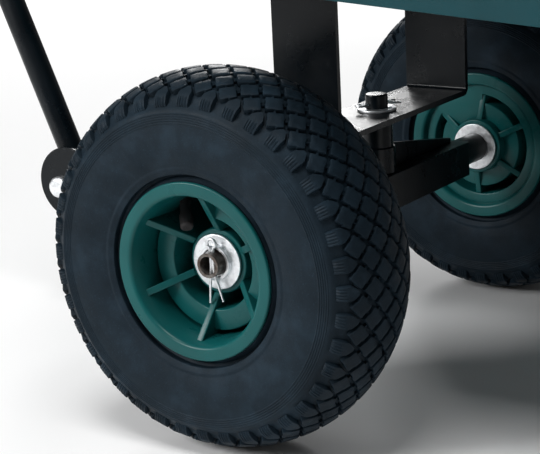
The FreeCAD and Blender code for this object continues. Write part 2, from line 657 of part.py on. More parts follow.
def tongue_centre_z(x):
    start = -BEAM_WIDTH / 2
    share = (x - start) / (PIVOT_X - start)
    return AXLE_Z + share * (PIVOT_Z - AXLE_Z)


def make_tongue():
    """Square tube from the beam's front face to the handle pivot, with a bored eye."""
    start = -BEAM_WIDTH / 2
    half = TONGUE_HEIGHT / 2

    def side_view(x0, x1, half_height):
        z0 = tongue_centre_z(x0)
        z1 = tongue_centre_z(x1)
        return [(x0, z0 - half_height), (x0, z0 + half_height),
                (x1, z1 + half_height), (x1, z1 - half_height)]

    tube = plate_xz(side_view(start, PIVOT_X, half), -TONGUE_HALF_WIDTH, TONGUE_HALF_WIDTH)
    inner_width = TONGUE_HALF_WIDTH - TONGUE_WALL
    hollow = plate_xz(side_view(start + 1, PIVOT_X + EYE_RADIUS + 2, half - TONGUE_WALL),
                      -inner_width, inner_width)
    eye = rod_y(PIVOT_X, PIVOT_Z, EYE_RADIUS, -EYE_HALF_WIDTH, EYE_HALF_WIDTH)
    bore = rod_y(PIVOT_X, PIVOT_Z, BUSH_RADIUS + CLOSE_FIT, -EYE_HALF_WIDTH - 1, EYE_HALF_WIDTH + 1)
    return fused([tube.cut(hollow), eye]).cut(bore)


def make_tongue_bush():
    half = EAR_INNER - SIDE_GAP
    return ring_y(PIVOT_X, PIVOT_Z, BUSH_RADIUS, PIVOT_RADIUS + RUNNING_FIT, -half, half)


# ---- handle -------------------------------------------------------------------------------
# Handle pieces are drawn upright with the pivot at the origin, then leaned and moved.
def place_handle(shape):
    leaned = shape.rotated(Vector(0, 0, 0), AXIS_Y, -HANDLE_LEAN)
    return leaned.translated(Vector(PIVOT_X, 0, PIVOT_Z))


def make_handle_clevis():
    half = EAR_INNER + EAR_THICKNESS
    disc = rod_y(TUBE_OFFSET, 0, EAR_RADIUS, -half, half)
    neck = box(TUBE_OFFSET - EAR_INNER, TUBE_OFFSET + EAR_INNER, -half, half, 0, SOCKET_END)
    slot = box(-100, 100, -EAR_INNER, EAR_INNER, -100, 100)
    ears = fused([disc, neck]).cut(slot)
    bore = HANDLE_DIAMETER / 2 + CLOSE_FIT
    socket = ring_z(TUBE_OFFSET, 0, EAR_INNER + 0.5, bore, SOCKET_START, SOCKET_END)
    hole = rod_y(0, 0, PIVOT_RADIUS + CLOSE_FIT, -half - 1, half + 1)
    return place_handle(fused([ears, socket]).cut(hole))


def loop_wire():
    """Rounded triangle in the YZ plane: apex on the tube, flat side along the grip."""
    top = HANDLE_LENGTH
    corners = [Vector(TUBE_OFFSET, 0, top - LOOP_HEIGHT), Vector(TUBE_OFFSET, LOOP_HALF_WIDTH, top),
               Vector(TUBE_OFFSET, -LOOP_HALF_WIDTH, top)]
    edges = []
    starts = []
    ends = []
    for i, corner in enumerate(corners):
        before = (corners[i - 1] - corner).normalize()
        after = (corners[(i + 1) % 3] - corner).normalize()
        half_angle = before.getAngle(after) / 2
        setback = LOOP_BEND / math.tan(half_angle)
        middle = (before + after).normalize()
        centre = corner + middle * (LOOP_BEND / math.sin(half_angle))
        starts.append(corner + before * setback)
        ends.append(corner + after * setback)
        edges.append(Part.Arc(starts[-1], centre - middle * LOOP_BEND, ends[-1]).toShape())
    lines = [Part.LineSegment(ends[i], starts[(i + 1) % 3]).toShape() for i in range(3)]
    ordered = [lines[1], edges[2], lines[2], edges[0], lines[0], edges[1]]
    return Part.Wire(ordered)


def loop_solid():
    """Round rod swept along the loop, starting and ending in the middle of the grip side."""
    wire = loop_wire()
    start = wire.Edges[0].Vertexes[0].Point
    section = Part.Wire(Part.makeCircle(LOOP_ROD_RADIUS, start, AXIS_Y))
    return wire.makePipeShell([section], True, False)


def make_handle_tube(loop):
    apex = HANDLE_LENGTH - LOOP_HEIGHT + LOOP_BEND * 0.6
    outer = rod_z(TUBE_OFFSET, 0, HANDLE_DIAMETER / 2, SOCKET_START, apex)
    inner = rod_z(TUBE_OFFSET, 0, HANDLE_DIAMETER / 2 - HANDLE_WALL, SOCKET_START - 1, apex - 12)
    return place_handle(outer.cut([inner, loop]))


def make_handle_grip():
    half = GRIP_HALF_LENGTH
    outer = rod_y(TUBE_OFFSET, HANDLE_LENGTH, GRIP_RADIUS, -half, half)
    ends = [edge for edge in outer.Edges if abs(abs(edge.CenterOfMass.y) - half) < 0.01]
    outer = outer.makeFillet(GRIP_EDGE, ends)
    bore = rod_y(TUBE_OFFSET, HANDLE_LENGTH, LOOP_ROD_RADIUS + CLOSE_FIT, -half - 1, half + 1)
    return place_handle(outer.cut(bore))


def make_pivot_bolt():
    """Round-headed bolt from the left ear through the tongue's bush, with its nut."""
    face = EAR_INNER + EAR_THICKNESS
    shank = rod_y(0, 0, PIVOT_RADIUS, -face, face + 11)
    head = rod_y(0, 0, 8.5, -face - 5.5, -face)
    edge = [e for e in head.Edges if abs(e.CenterOfMass.y + face + 5.5) < 0.01]
    head = head.makeFillet(3.0, edge)
    nut = hexagon(Vector(0, face, 0), AXIS_Y, 17.0, 8.0)
    nut = nut.cut(rod_y(0, 0, PIVOT_RADIUS + CLOSE_FIT, face - 1, face + 12))
    return [place_handle(fused([shank, head])), place_handle(nut)]


# ---- tub ----------------------------------------------------------------------------------
def rounded_outline(x0, x1, half_width, corner, z):
    """Rectangle with round corners in a level plane."""
    y = half_width - corner
    centres = [(x1 - corner, y), (x0 + corner, y), (x0 + corner, -y), (x1 - corner, -y)]
    arcs = []
    for i, (cx, cy) in enumerate(centres):
        angles = [math.radians(90 * i + turn) for turn in (0, 45, 90)]
        arcs.append([Vector(cx + corner * math.cos(a), cy + corner * math.sin(a), z) for a in angles])
    edges = []
    for i, arc in enumerate(arcs):
        edges.append(Part.Arc(*arc).toShape())
        edges.append(Part.LineSegment(arc[2], arcs[(i + 1) % 4][0]).toShape())
    return Part.Wire(edges)


def tub_shell(inset, top_z):
    """Tapered box with round corners, drawn inset from the tub's outside."""
    share = (top_z - TUB_EDGE_Z) / TUB_DEPTH

    def outline(part, z):
        return rounded_outline(TUB_FLOOR_FRONT - part * TUB_FRONT_SLOPE + inset,
                               TUB_FLOOR_REAR + part * TUB_REAR_SLOPE - inset,
                               TUB_FLOOR_HALF + part * TUB_SIDE_SLOPE - inset,
                               TUB_LOWER_CORNER + part * (TUB_UPPER_CORNER - TUB_LOWER_CORNER) - inset, z)
    return Part.makeLoft([outline(0.0, TUB_EDGE_Z), outline(share, top_z)], True, True)


def below_profile(rise, half_width):
    """Everything under the tub's lower edge raised by rise, within half_width of the middle."""
    x0 = TUB_RIM_FRONT - 100
    x1 = TUB_RIM_REAR + 100
    points = [(x, edge_z(x) + rise) for x in (x0, FLOOR_KINK_X, x1)]
    points += [(x1, TUB_EDGE_Z - 50), (x0, TUB_EDGE_Z - 50)]
    return plate_xz(points, -half_width, half_width)


def make_tub():
    wide = TUB_RIM_WIDTH
    outside = tub_shell(0.0, TUB_RIM_Z)
    inside = tub_shell(TUB_WALL, TUB_RIM_Z + 1).cut(below_profile(TUB_SKIRT + TUB_WALL, wide))
    lip_outer = Part.Face(rounded_outline(TUB_RIM_FRONT, TUB_RIM_REAR, TUB_RIM_WIDTH / 2,
                                          TUB_UPPER_CORNER + TUB_LIP, TUB_RIM_Z - TUB_LIP_DROP))
    lip_outer = lip_outer.extrude(Vector(0, 0, TUB_LIP_DROP))
    lip_wall = Part.Face(rounded_outline(TUB_RIM_FRONT + TUB_WALL, TUB_RIM_REAR - TUB_WALL,
                                         TUB_RIM_WIDTH / 2 - TUB_WALL, TUB_UPPER_CORNER + TUB_LIP - TUB_WALL,
                                         TUB_RIM_Z - TUB_LIP_DROP - 1))
    lip_groove = lip_wall.extrude(Vector(0, 0, TUB_LIP_DROP + 1 - TUB_WALL))
    lip = lip_outer.cut(lip_groove)
    body = fused([outside, lip])
    recess = below_profile(TUB_SKIRT, TUB_FLOOR_HALF - RECESS_MARGIN)
    body = body.cut([inside, below_profile(0.0, wide), recess])
    holes = [rod_z(x, y, BOLT_RADIUS + CLOSE_FIT, 0, floor_z(x) + 20)
             for x, y in hinge_bolt_places() + striker_bolt_places()]
    return body.cut(holes)


def hinge_plate_y():
    """Outer face of a hinge plate, from the middle of the cart."""
    return STRAP_HALF_SPAN - STRAP_THICKNESS - HINGE_PLATE_INSET


def hinge_bolt_places():
    """Bolt centres, in X and Y, that hold the hinge plates to the tub's floor."""
    y = hinge_plate_y() - HINGE_PLATE_THICKNESS - HINGE_FLANGE_WIDTH / 2
    start = TUB_FLOOR_REAR - HINGE_PLATE_LENGTH
    return [(start + HINGE_PLATE_LENGTH * share, side * y) for share in (0.25, 0.75) for side in (-1, 1)]


def make_hinge_plates():
    """Angle plates under the floor that reach back to the hinge pin."""
    outer = hinge_plate_y()
    inner = outer - HINGE_PLATE_THICKNESS
    boss_end = STRAP_HALF_SPAN - SIDE_GAP
    start = TUB_FLOOR_REAR - HINGE_PLATE_LENGTH
    top = floor_z(start)
    flange = box(start, TUB_FLOOR_REAR - 4, outer - HINGE_PLATE_THICKNESS - HINGE_FLANGE_WIDTH, outer,
                 top - HINGE_PLATE_THICKNESS, top)
    web = plate_xz([(start, top), (TUB_FLOOR_REAR - 4, top), (HINGE_X, HINGE_Z + HINGE_EYE_RADIUS),
                    (HINGE_X, HINGE_Z - HINGE_EYE_RADIUS), (start, top - HINGE_PLATE_THICKNESS * 3)],
                   inner, outer)
    eye = rod_y(HINGE_X, HINGE_Z, HINGE_EYE_RADIUS, inner, boss_end)
    plate = fused([flange, web, eye])
    plate = plate.cut(rod_y(HINGE_X, HINGE_Z, HINGE_PIN_RADIUS + RUNNING_FIT, inner - 1, boss_end + 1))
    for x, y in hinge_bolt_places():
        plate = plate.cut(rod_z(x, y, BOLT_RADIUS + CLOSE_FIT, top - 20, top + 20))
    return both_sides(plate)


def striker_bolt_places():
    y = STRIKER_HALF_WIDTH + STRIKER_TAB_THICKNESS + STRIKER_FOOT_WIDTH / 2
    return [(LATCH_X, side * y) for side in (-1, 1)]


def make_tub_bolts():
    """Round-headed bolts through the tub's floor, with nuts below the hinge plates and the striker."""
    pieces = []
    places = [(x, y, HINGE_PLATE_THICKNESS) for x, y in hinge_bolt_places()]
    places += [(x, y, STRIKER_PLATE) for x, y in striker_bolt_places()]
    for x, y, plate in places:
        seat = floor_z(x - BOLT_HEAD_RADIUS) + TUB_WALL
        under = floor_z(x) - plate - FLOOR_RISE * BOLT_HEAD_RADIUS * (x < FLOOR_KINK_X)
        head = rod_z(x, y, BOLT_HEAD_RADIUS, seat, seat + 3.0)
        shank = rod_z(x, y, BOLT_RADIUS, under - 8.0, seat)
        nut = hexagon(Vector(x, y, under - 6.4), AXIS_Z, BOLT_RADIUS * 3.2, 6.4)
        nut = nut.cut(rod_z(x, y, BOLT_RADIUS + CLOSE_FIT, under - 10, under + 1))
        pieces += [fused([head, shank]), nut]
    return pieces


# ---- latch --------------------------------------------------------------------------------
def make_striker():
    """Rod under the front of the floor, held by a plate with two bent-down tabs."""
    x0 = LATCH_X - STRIKER_TAB / 2
    x1 = LATCH_X + STRIKER_TAB / 2
    half = STRIKER_HALF_WIDTH + STRIKER_TAB_THICKNESS
    foot_half = half + STRIKER_FOOT_WIDTH
    foot = plate_xz([(x0, floor_z(x0)), (x1, floor_z(x1)), (x1, floor_z(x1) - STRIKER_PLATE),
                     (x0, floor_z(x0) - STRIKER_PLATE)], -foot_half, foot_half)
    tab_end = STRIKER_Z - STRIKER_ROD_RADIUS - 2
    tab = plate_xz([(x0, floor_z(x0)), (x1, floor_z(x1)), (x1, tab_end), (x0, tab_end)],
                   STRIKER_HALF_WIDTH, half)
    bar = rod_y(LATCH_X, STRIKER_Z, STRIKER_ROD_RADIUS, -half, half)
    plate = fused([foot, tab, mirrored(tab), bar])
    for x, y in striker_bolt_places():
        plate = plate.cut(rod_z(x, y, BOLT_RADIUS + CLOSE_FIT, 0, floor_z(x) + 20))
    return plate


def make_latch_brackets():
    """Two ears on the front of the front cross member that carry the latch pin."""
    back = CROSS_FRONT_X - RAIL_SIZE / 2
    top = rail_top(CROSS_FRONT_X + RAIL_SIZE / 2)
    inner = LATCH_BRACKET_Y
    outer = LATCH_BRACKET_Y + LATCH_BRACKET_THICKNESS
    arm = plate_xz([(back, top - RAIL_WALL), (back, top - RAIL_SIZE),
                    (LATCH_X, LATCH_PIN_Z - LATCH_EAR_RADIUS), (LATCH_X, LATCH_PIN_Z + LATCH_EAR_RADIUS)],
                   inner, outer)
    ear = fused([arm, rod_y(LATCH_X, LATCH_PIN_Z, LATCH_EAR_RADIUS, inner, outer)])
    return both_sides(ear.cut(rod_y(LATCH_X, LATCH_PIN_Z, LATCH_PIN_RADIUS + CLOSE_FIT, 0, outer + 1)))


def make_latch_pin():
    end = LATCH_BRACKET_Y + LATCH_BRACKET_THICKNESS
    shank = rod_y(LATCH_X, LATCH_PIN_Z, LATCH_PIN_RADIUS, -end, end)
    heads = both_sides(rod_y(LATCH_X, LATCH_PIN_Z, LATCH_PIN_RADIUS + 2.5, end, end + 3))
    return fused([shank] + heads)


def make_latch_lever():
    """Hook that swings up and back over the striker rod, drawn closed and then turned open."""
    half = LATCH_THICKNESS / 2
    width = LATCH_ARM_WIDTH / 2
    head = rod_y(0, LATCH_ARM, LATCH_HEAD_RADIUS, -half, half)
    arm = box(-LATCH_HEAD_RADIUS, width, -half, half, 0, LATCH_ARM)
    boss = rod_y(0, 0, LATCH_BOSS_RADIUS, -half, half)
    sleeve = rod_y(0, 0, LATCH_SLEEVE_RADIUS, -LATCH_BRACKET_Y + SIDE_GAP, LATCH_BRACKET_Y - SIDE_GAP)
    tail = box(-width, width, -half, half, -LATCH_TAIL, 0)
    tail = tail.rotated(Vector(0, 0, 0), AXIS_Y, LATCH_OPEN_ANGLE)
    lever = fused([head, arm, boss, sleeve, tail])
    clear = STRIKER_ROD_RADIUS + SIDE_GAP
    swing = ring_y(0, 0, LATCH_ARM + clear, LATCH_ARM - clear, -half - 1, half + 1)
    quarter = plate_xz([(0, 0), (0, 2 * LATCH_ARM), (2 * LATCH_ARM, 2 * LATCH_ARM), (2 * LATCH_ARM, 0)],
                       -half - 2, half + 2)
    lever = lever.cut([swing.common(quarter), rod_y(0, LATCH_ARM, clear, -half - 1, half + 1)])
    lever = lever.cut(rod_y(0, 0, LATCH_PIN_RADIUS + RUNNING_FIT, -LATCH_BRACKET_Y, LATCH_BRACKET_Y))
    lever.rotate(Vector(0, 0, 0), AXIS_Y, -LATCH_OPEN_ANGLE)
    return lever.translated(Vector(LATCH_X, 0, LATCH_PIN_Z))


# ---- the whole cart -----------------------------------------------------------------------
def all_pieces():
    rail = make_side_rail()
    loop = loop_solid()
    pieces = {
        "side_rail_right": rail,
        "side_rail_left": mirrored(rail),
        "front_cross_member": make_cross_member(CROSS_FRONT_X),
        "rear_cross_member": make_cross_member(CROSS_REAR_X),
        "steering_strap": make_steering_strap(),
        "rear_strap": make_rear_strap(),
        "strap_bolts": make_strap_bolts(),
        "rear_braces": make_rear_braces(),
        "rubber_rests": make_rubber_rests(),
        "rear_axle": axle_tube(WHEELBASE),
        "rear_axle_spacers": axle_spacers(WHEELBASE, STRAP_HALF_SPAN),
        "rear_axle_washers": axle_washers(WHEELBASE),
        "rear_axle_cotter_pins": axle_cotters(WHEELBASE),
        "tub_hinge_pin": make_hinge_pin(),
        "hinge_pin_clips": make_hinge_pin_clips(),
        "latch_brackets": make_latch_brackets(),
        "latch_pin": make_latch_pin(),
        "axle_beam": make_axle_beam(),
        "beam_gussets": make_gussets(),
        "steering_post": make_steering_post(),
        "kingpin": make_kingpin(),
        "kingpin_washers": make_kingpin_washers(),
        "kingpin_cotter_pin": make_kingpin_cotter(),
        "front_axle": axle_tube(0.0),
        "front_axle_spacers": axle_spacers(0.0, BEAM_HALF_LENGTH),
        "front_axle_washers": axle_washers(0.0),
        "front_axle_cotter_pins": axle_cotters(0.0),
        "tongue": make_tongue(),
        "tongue_bush": make_tongue_bush(),
        "handle_clevis": make_handle_clevis(),
        "handle_tube": make_handle_tube(loop),
        "handle_loop": place_handle(loop),
        "handle_grip": make_handle_grip(),
        "handle_pivot_bolt": make_pivot_bolt(),
        "tub": make_tub(),
        "tub_hinge_plates": make_hinge_plates(),
        "tub_bolts": make_tub_bolts(),
        "latch_striker": make_striker(),
        "latch_lever": make_latch_lever(),
    }
    wheel_pieces = {"tyre": make_tyre(), "inner_tube": make_inner_tube(), "rim": make_rim(),
                    "bearings": make_bearings(), "valve": make_valve()}
    for end, axle_x in (("front", 0.0), ("rear", WHEELBASE)):
        for side_name, side in (("left", -1), ("right", 1)):
            for name, shape in wheel_pieces.items():
                solids = shape if isinstance(shape, list) else [shape]
                placed = [place_wheel(solid, axle_x, side) for solid in solids]
                pieces[name + "_" + end + "_" + side_name] = placed
    return pieces


def main():
    os.makedirs("parts", exist_ok=True)
    for name, shape in all_pieces().items():
        if isinstance(shape, list):
            shape = Part.makeCompound(shape)
        moved = shape.translated(Vector(-ORIGIN_X, 0, 0))
        moved.exportStep("parts/" + name + ".step")
        print(name, moved.isValid(), len(moved.Solids), round(moved.Volume))


if __name__ == "__main__":
    main()
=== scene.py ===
import math

import bmesh
import bpy
import numpy as np
from bpy.props import FloatProperty, FloatVectorProperty, IntProperty, PointerProperty
from mathutils import Matrix, Vector


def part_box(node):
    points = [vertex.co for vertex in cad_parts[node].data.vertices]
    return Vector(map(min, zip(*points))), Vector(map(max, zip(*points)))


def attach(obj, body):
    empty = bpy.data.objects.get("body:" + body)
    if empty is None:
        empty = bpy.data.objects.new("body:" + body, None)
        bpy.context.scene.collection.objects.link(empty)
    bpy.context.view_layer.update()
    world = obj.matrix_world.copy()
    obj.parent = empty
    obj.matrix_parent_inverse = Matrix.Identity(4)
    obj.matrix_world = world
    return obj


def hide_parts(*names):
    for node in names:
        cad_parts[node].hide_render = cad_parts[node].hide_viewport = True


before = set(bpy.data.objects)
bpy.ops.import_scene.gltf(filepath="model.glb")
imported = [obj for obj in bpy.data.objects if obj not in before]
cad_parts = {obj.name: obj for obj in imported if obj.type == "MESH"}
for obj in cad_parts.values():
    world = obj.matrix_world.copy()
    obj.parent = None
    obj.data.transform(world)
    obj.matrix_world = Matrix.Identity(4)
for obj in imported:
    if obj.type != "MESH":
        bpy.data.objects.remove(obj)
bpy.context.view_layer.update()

bl_info = {
    "name": "Garden dump cart",
    "version": (1, 0, 0),
    "blender": (4, 5, 0),
    "location": "View3D > Sidebar > Cart",
    "description": "Builds the finished surfaces of a garden dump cart around its frame",
    "category": "Object",
}

# Shapes are worked out in millimetres and scaled to metres when they become meshes.
# A wheel piece is drawn as (across, out): across is the distance from the wheel's mid-plane
# towards its outer side, out the distance from its axis.
MM = 0.001
ENDS = ("front", "rear")
SIDES = (("left", -1.0), ("right", 1.0))


# ---- places that come from the frame ----------------------------------------------------------
def corners(node):
    """Lowest and highest corner of a frame node, in millimetres."""
    low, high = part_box(node)
    return np.array(low) * 1000.0, np.array(high) * 1000.0


def middle(node):
    low, high = corners(node)
    return (low + high) / 2


KING = middle("kingpin")
KING_TOP = corners("kingpin")[1][2]
STRAP_TOP = corners("kingpin_washers")[1][2] - 2.0
TYRE_LOW, TYRE_HIGH = corners("tyre_front_left")
TYRE_RADIUS = float(TYRE_HIGH[2] - TYRE_LOW[2]) / 2
TYRE_HALF = float(TYRE_HIGH[1] - TYRE_LOW[1]) / 2
RIM_HALF = float(np.diff([c[1] for c in corners("rim_front_left")])[0]) / 2
TUB_LOW, TUB_HIGH = corners("tub")


def wheel_centre(end, side):
    return middle("tyre_{}_{}".format(end, side))


# ---- sizes and colours ------------------------------------------------------------------------
class CartWheelSizes(bpy.types.PropertyGroup):
    blocks: IntProperty(
        name="Tread blocks", description="Blocks in one row round a tyre", default=40, min=20, max=60)
    tread_depth: FloatProperty(
        name="Tread depth", description="Depth of the grooves, in millimetres", default=3.4)
    groove: FloatProperty(
        name="Groove", description="Width of a groove between blocks, in millimetres", default=2.7)
    ribs: IntProperty(name="Rim ribs", description="Ribs between hub and rim", default=6, min=3, max=12)
    rib_thickness: FloatProperty(
        name="Rib thickness", description="Thickness of a rim rib, in millimetres", default=4.6)


class CartBodySizes(bpy.types.PropertyGroup):
    lip_round: FloatProperty(
        name="Lip rounding", description="Rounding of the tub's rim, in millimetres", default=3.2)
    floor_round: FloatProperty(
        name="Floor rounding",
        description="Rounding between floor and walls inside the tub, in millimetres", default=16.0)
    steel_edge: FloatProperty(
        name="Steel edge", description="Rounding of sheet and tube edges, in millimetres", default=0.5)


class CartColours(bpy.types.PropertyGroup):
    rubber: FloatVectorProperty(
        name="Tyre rubber", description="Blue-black rubber", subtype="COLOR", size=3,
        default=(0.009, 0.017, 0.025), min=0.0, max=1.0)
    rim_green: FloatVectorProperty(
        name="Rim", description="Green moulded rims", subtype="COLOR", size=3,
        default=(0.004, 0.082, 0.082), min=0.0, max=1.0)
    tub_green: FloatVectorProperty(
        name="Tub", description="Green moulded tub", subtype="COLOR", size=3,
        default=(0.002, 0.050, 0.062), min=0.0, max=1.0)
    paint: FloatVectorProperty(
        name="Steel paint", description="Black powder coat", subtype="COLOR", size=3,
        default=(0.002, 0.004, 0.006), min=0.0, max=1.0)
    zinc: FloatVectorProperty(
        name="Zinc", description="Plated washers, pins and bolts", subtype="COLOR", size=3,
        default=(0.86, 0.88, 0.90), min=0.0, max=1.0)


class CartStage(bpy.types.PropertyGroup):
    azimuth: FloatProperty(
        name="Azimuth", description="Direction of the view round the cart", subtype="ANGLE",
        default=math.radians(34.51))
    elevation: FloatProperty(
        name="Elevation", description="Height of the view above the horizon", subtype="ANGLE",
        default=math.radians(15.17))
    roll: FloatProperty(
        name="Roll", description="Turn of the camera about its own line of sight", subtype="ANGLE",
        default=math.radians(-2.84))
    lens: FloatProperty(name="Lens", description="Focal length, in millimetres", default=120.33)
    sky: FloatProperty(
        name="Sky", description="Strength of the light from all round", default=0.16, min=0.0)
    floor_tone: FloatProperty(
        name="Floor", description="Brightness of the floor", default=0.92, min=0.0, max=1.0)


# ---- shells: numpy surfaces -------------------------------------------------------------------
# A shell is (points, faces): points (n, 3), faces a list of index arrays, one row per face.
def grid(points, wrap_rows=False, wrap_columns=False):
    """Quads between neighbouring rows and columns of a grid of points."""
    rows, columns = points.shape[:2]
    index = np.arange(rows * columns).reshape(rows, columns)
    if wrap_rows:
        index = np.vstack([index, index[:1]])
    if wrap_columns:
        index = np.hstack([index, index[:, :1]])
    quads = np.stack([index[:-1, :-1], index[1:, :-1], index[1:, 1:], index[:-1, 1:]], axis=-1)
    return points.reshape(-1, 3), [quads.reshape(-1, 4)]


def tubes(points):
    """Closed shells, several at once, from points of shape (shells, rings, count, 3).

    Rings that follow each other are joined by quads, and each shell's first and last ring are
    closed by a fan of triangles about the ring's middle."""
    shells, rings, count = points.shape[:3]
    index = np.arange(rings * count).reshape(rings, count)
    around = np.roll(index, -1, axis=1)
    quads = np.stack([index[:-1], index[1:], around[1:], around[:-1]], axis=-1).reshape(-1, 4)
    first, last = rings * count, rings * count + 1
    low = np.stack([around[0], index[0], np.full(count, first)], axis=-1)
    high = np.stack([index[-1], around[-1], np.full(count, last)], axis=-1)
    triangles = np.vstack([low, high])
    step = (np.arange(shells) * (rings * count + 2))[:, None, None]
    ends = np.stack([points[:, 0].mean(axis=1), points[:, -1].mean(axis=1)], axis=1)
    body = np.concatenate([points.reshape(shells, -1, 3), ends], axis=1)
    return body.reshape(-1, 3), [(quads + step).reshape(-1, 4), (triangles + step).reshape(-1, 3)]


def joined(shells):
    """One shell from several, with their indices moved on."""
    points, faces, start = [], [], 0
    for shell_points, shell_faces in shells:
        points.append(shell_points)
        faces += [part + start for part in shell_faces]
        start += len(shell_points)
    return np.vstack(points), faces


def outward(shell):
    """The shell with its faces turned outwards: the volume under them is made positive."""
    points, faces = shell
    volume = 0.0
    for part in faces:
        for k in range(1, part.shape[1] - 1):
            a, b, c = points[part[:, 0]], points[part[:, k]], points[part[:, k + 1]]
            volume += np.einsum("ij,ij->", a, np.cross(b, c))
    if volume < 0:
        faces = [part[:, ::-1] for part in faces]
    return points, faces


def rounded(points, radius, steps=4, closed=True):
    """The outline with each corner replaced by a curve that starts radius before it.

    The curve is the quadratic one that leaves and arrives along the corner's two sides, with the
    corner as its control point; radius may be one number or one for each corner."""
    points = np.asarray(points, float)
    radius = np.broadcast_to(np.asarray(radius, float), (len(points),))[:, None]
    before = np.roll(points, 1, axis=0) - points
    after = np.roll(points, -1, axis=0) - points
    long_before = np.linalg.norm(before, axis=1, keepdims=True)
    long_after = np.linalg.norm(after, axis=1, keepdims=True)
    reach = np.minimum(radius, 0.48 * np.minimum(long_before, long_after))
    start = points + before / long_before * reach
    end = points + after / long_after * reach
    t = np.linspace(0.0, 1.0, steps + 1)[None, :, None]
    curve = (1 - t) ** 2 * start[:, None] + 2 * t * (1 - t) * points[:, None] + t ** 2 * end[:, None]
    if not closed:
        curve[0] = points[0]
        curve[-1] = points[-1]
    flat = curve.reshape(-1, points.shape[1])
    keep = np.linalg.norm(np.diff(flat, axis=0, append=flat[:1]), axis=1) > 1e-4
    keep[-1] = keep[-1] or not closed
    return flat[keep]


def turned(across, out, turn):
    """Points at a place across the wheel, a distance out from its axis and a turn about it.

    They lie at out times the cosine and out times the sine of the turn, in the wheel's plane."""
    return np.stack([out * np.cos(turn), across + 0 * turn, out * np.sin(turn)], axis=-1)


def spun(profile, count):
    """Surface of revolution: a closed (across, out) outline turned about the wheel's axis."""
    turn = np.arange(count) * (2 * math.pi / count)
    points = turned(profile[:, 0, None], profile[:, 1, None], turn)
    return grid(points, wrap_rows=True, wrap_columns=True)


def swept(path, section, side, scale=None):
    """Section (k, 2) carried along a path (n, 3) that lies in the plane square to side.

    At each point the section's first number runs along side and its second along the cross
    product of side and the path's direction; scale widens or narrows it along the way."""
    along = np.gradient(path, axis=0)
    along /= np.linalg.norm(along, axis=1, keepdims=True)
    side = np.asarray(side, float)
    up = np.cross(side, along)
    scale = np.ones(len(path)) if scale is None else np.asarray(scale)
    flat = section[None] * scale[:, None, None]
    return tubes((path[:, None] + flat[..., :1] * side + flat[..., 1:] * up[:, None])[None])


def circle(radius, count):
    turn = np.arange(count) * (2 * math.pi / count)
    return np.stack([radius * np.cos(turn), radius * np.sin(turn)], axis=-1)


def slab(outline, thickness, edge):
    """Flat plate in (first, second) with its thickness along the middle axis.

    The outline is drawn in by edge times one minus the sine of a turn, at a height above each face
    of edge times one minus its cosine, which rounds both edges by a quarter turn; the drawn-in
    corner is the mitre of its two sides."""
    outline = np.asarray(outline, float)
    along = np.roll(outline, -1, axis=0) - outline
    along /= np.linalg.norm(along, axis=1, keepdims=True)
    normal = np.stack([along[:, 1], -along[:, 0]], axis=-1)
    area = np.sum(outline[:, 0] * np.roll(outline[:, 1], -1) - np.roll(outline[:, 0], -1) * outline[:, 1])
    normal *= np.sign(area)
    before = np.roll(normal, 1, axis=0)
    mitre = (normal + before) / (1 + np.sum(normal * before, axis=1, keepdims=True))
    turn = np.linspace(0.0, math.pi / 2, 4)
    inset = edge * (1 - np.sin(turn))
    height = edge * (1 - np.cos(turn)) - thickness / 2
    inset = np.concatenate([inset, inset[::-1]])
    height = np.concatenate([height, -height[::-1]])
    flat = outline[None] - inset[:, None, None] * mitre[None]
    points = np.stack([flat[..., 0], height[:, None] + 0 * flat[..., 0], flat[..., 1]], axis=-1)
    return tubes(points[None])


def changed(shell, matrix=None, move=(0, 0, 0)):
    """The shell turned by a 3x3 matrix and then moved."""
    points, faces = shell
    if matrix is not None:
        points = points @ np.asarray(matrix, float).T
    return points + np.asarray(move, float), faces


def turned_y(degrees):
    """Turn about Y that takes +X towards +Z."""
    c, s = math.cos(math.radians(degrees)), math.sin(math.radians(degrees))
    return np.array([[c, 0, -s], [0, 1, 0], [s, 0, c]])


def turned_z(degrees):
    c, s = math.cos(math.radians(degrees)), math.sin(math.radians(degrees))
    return np.array([[c, -s, 0], [s, c, 0], [0, 0, 1]])


CREASE = 34.0                   # degrees between faces above which an edge stays sharp


def piece(name, shells, material, body, nodes=(), crease=CREASE):
    """Makes a mesh object from closed shells, in metres, and lets it ride on a body."""
    points, faces = joined([outward(shell) for shell in shells])
    mesh = bpy.data.meshes.new(name)
    widths = np.concatenate([np.full(len(part), part.shape[1]) for part in faces])
    loops = np.concatenate([part.ravel() for part in faces])
    mesh.vertices.add(len(points))
    mesh.vertices.foreach_set("co", (points * MM).ravel())
    mesh.loops.add(len(loops))
    mesh.loops.foreach_set("vertex_index", loops.astype(np.int32))
    mesh.polygons.add(len(widths))
    mesh.polygons.foreach_set("loop_start", (np.cumsum(widths) - widths).astype(np.int32))
    mesh.update(calc_edges=True)
    if mesh.validate():
        raise RuntimeError("the mesh of {} had faults".format(name))
    mesh.shade_smooth()
    mesh.set_sharp_from_angle(angle=math.radians(crease))
    mesh.materials.append(material)
    thing = bpy.data.objects.new(name, mesh)
    bpy.context.scene.collection.objects.link(thing)
    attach(thing, body)
    if nodes:
        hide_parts(*nodes)
    return thing


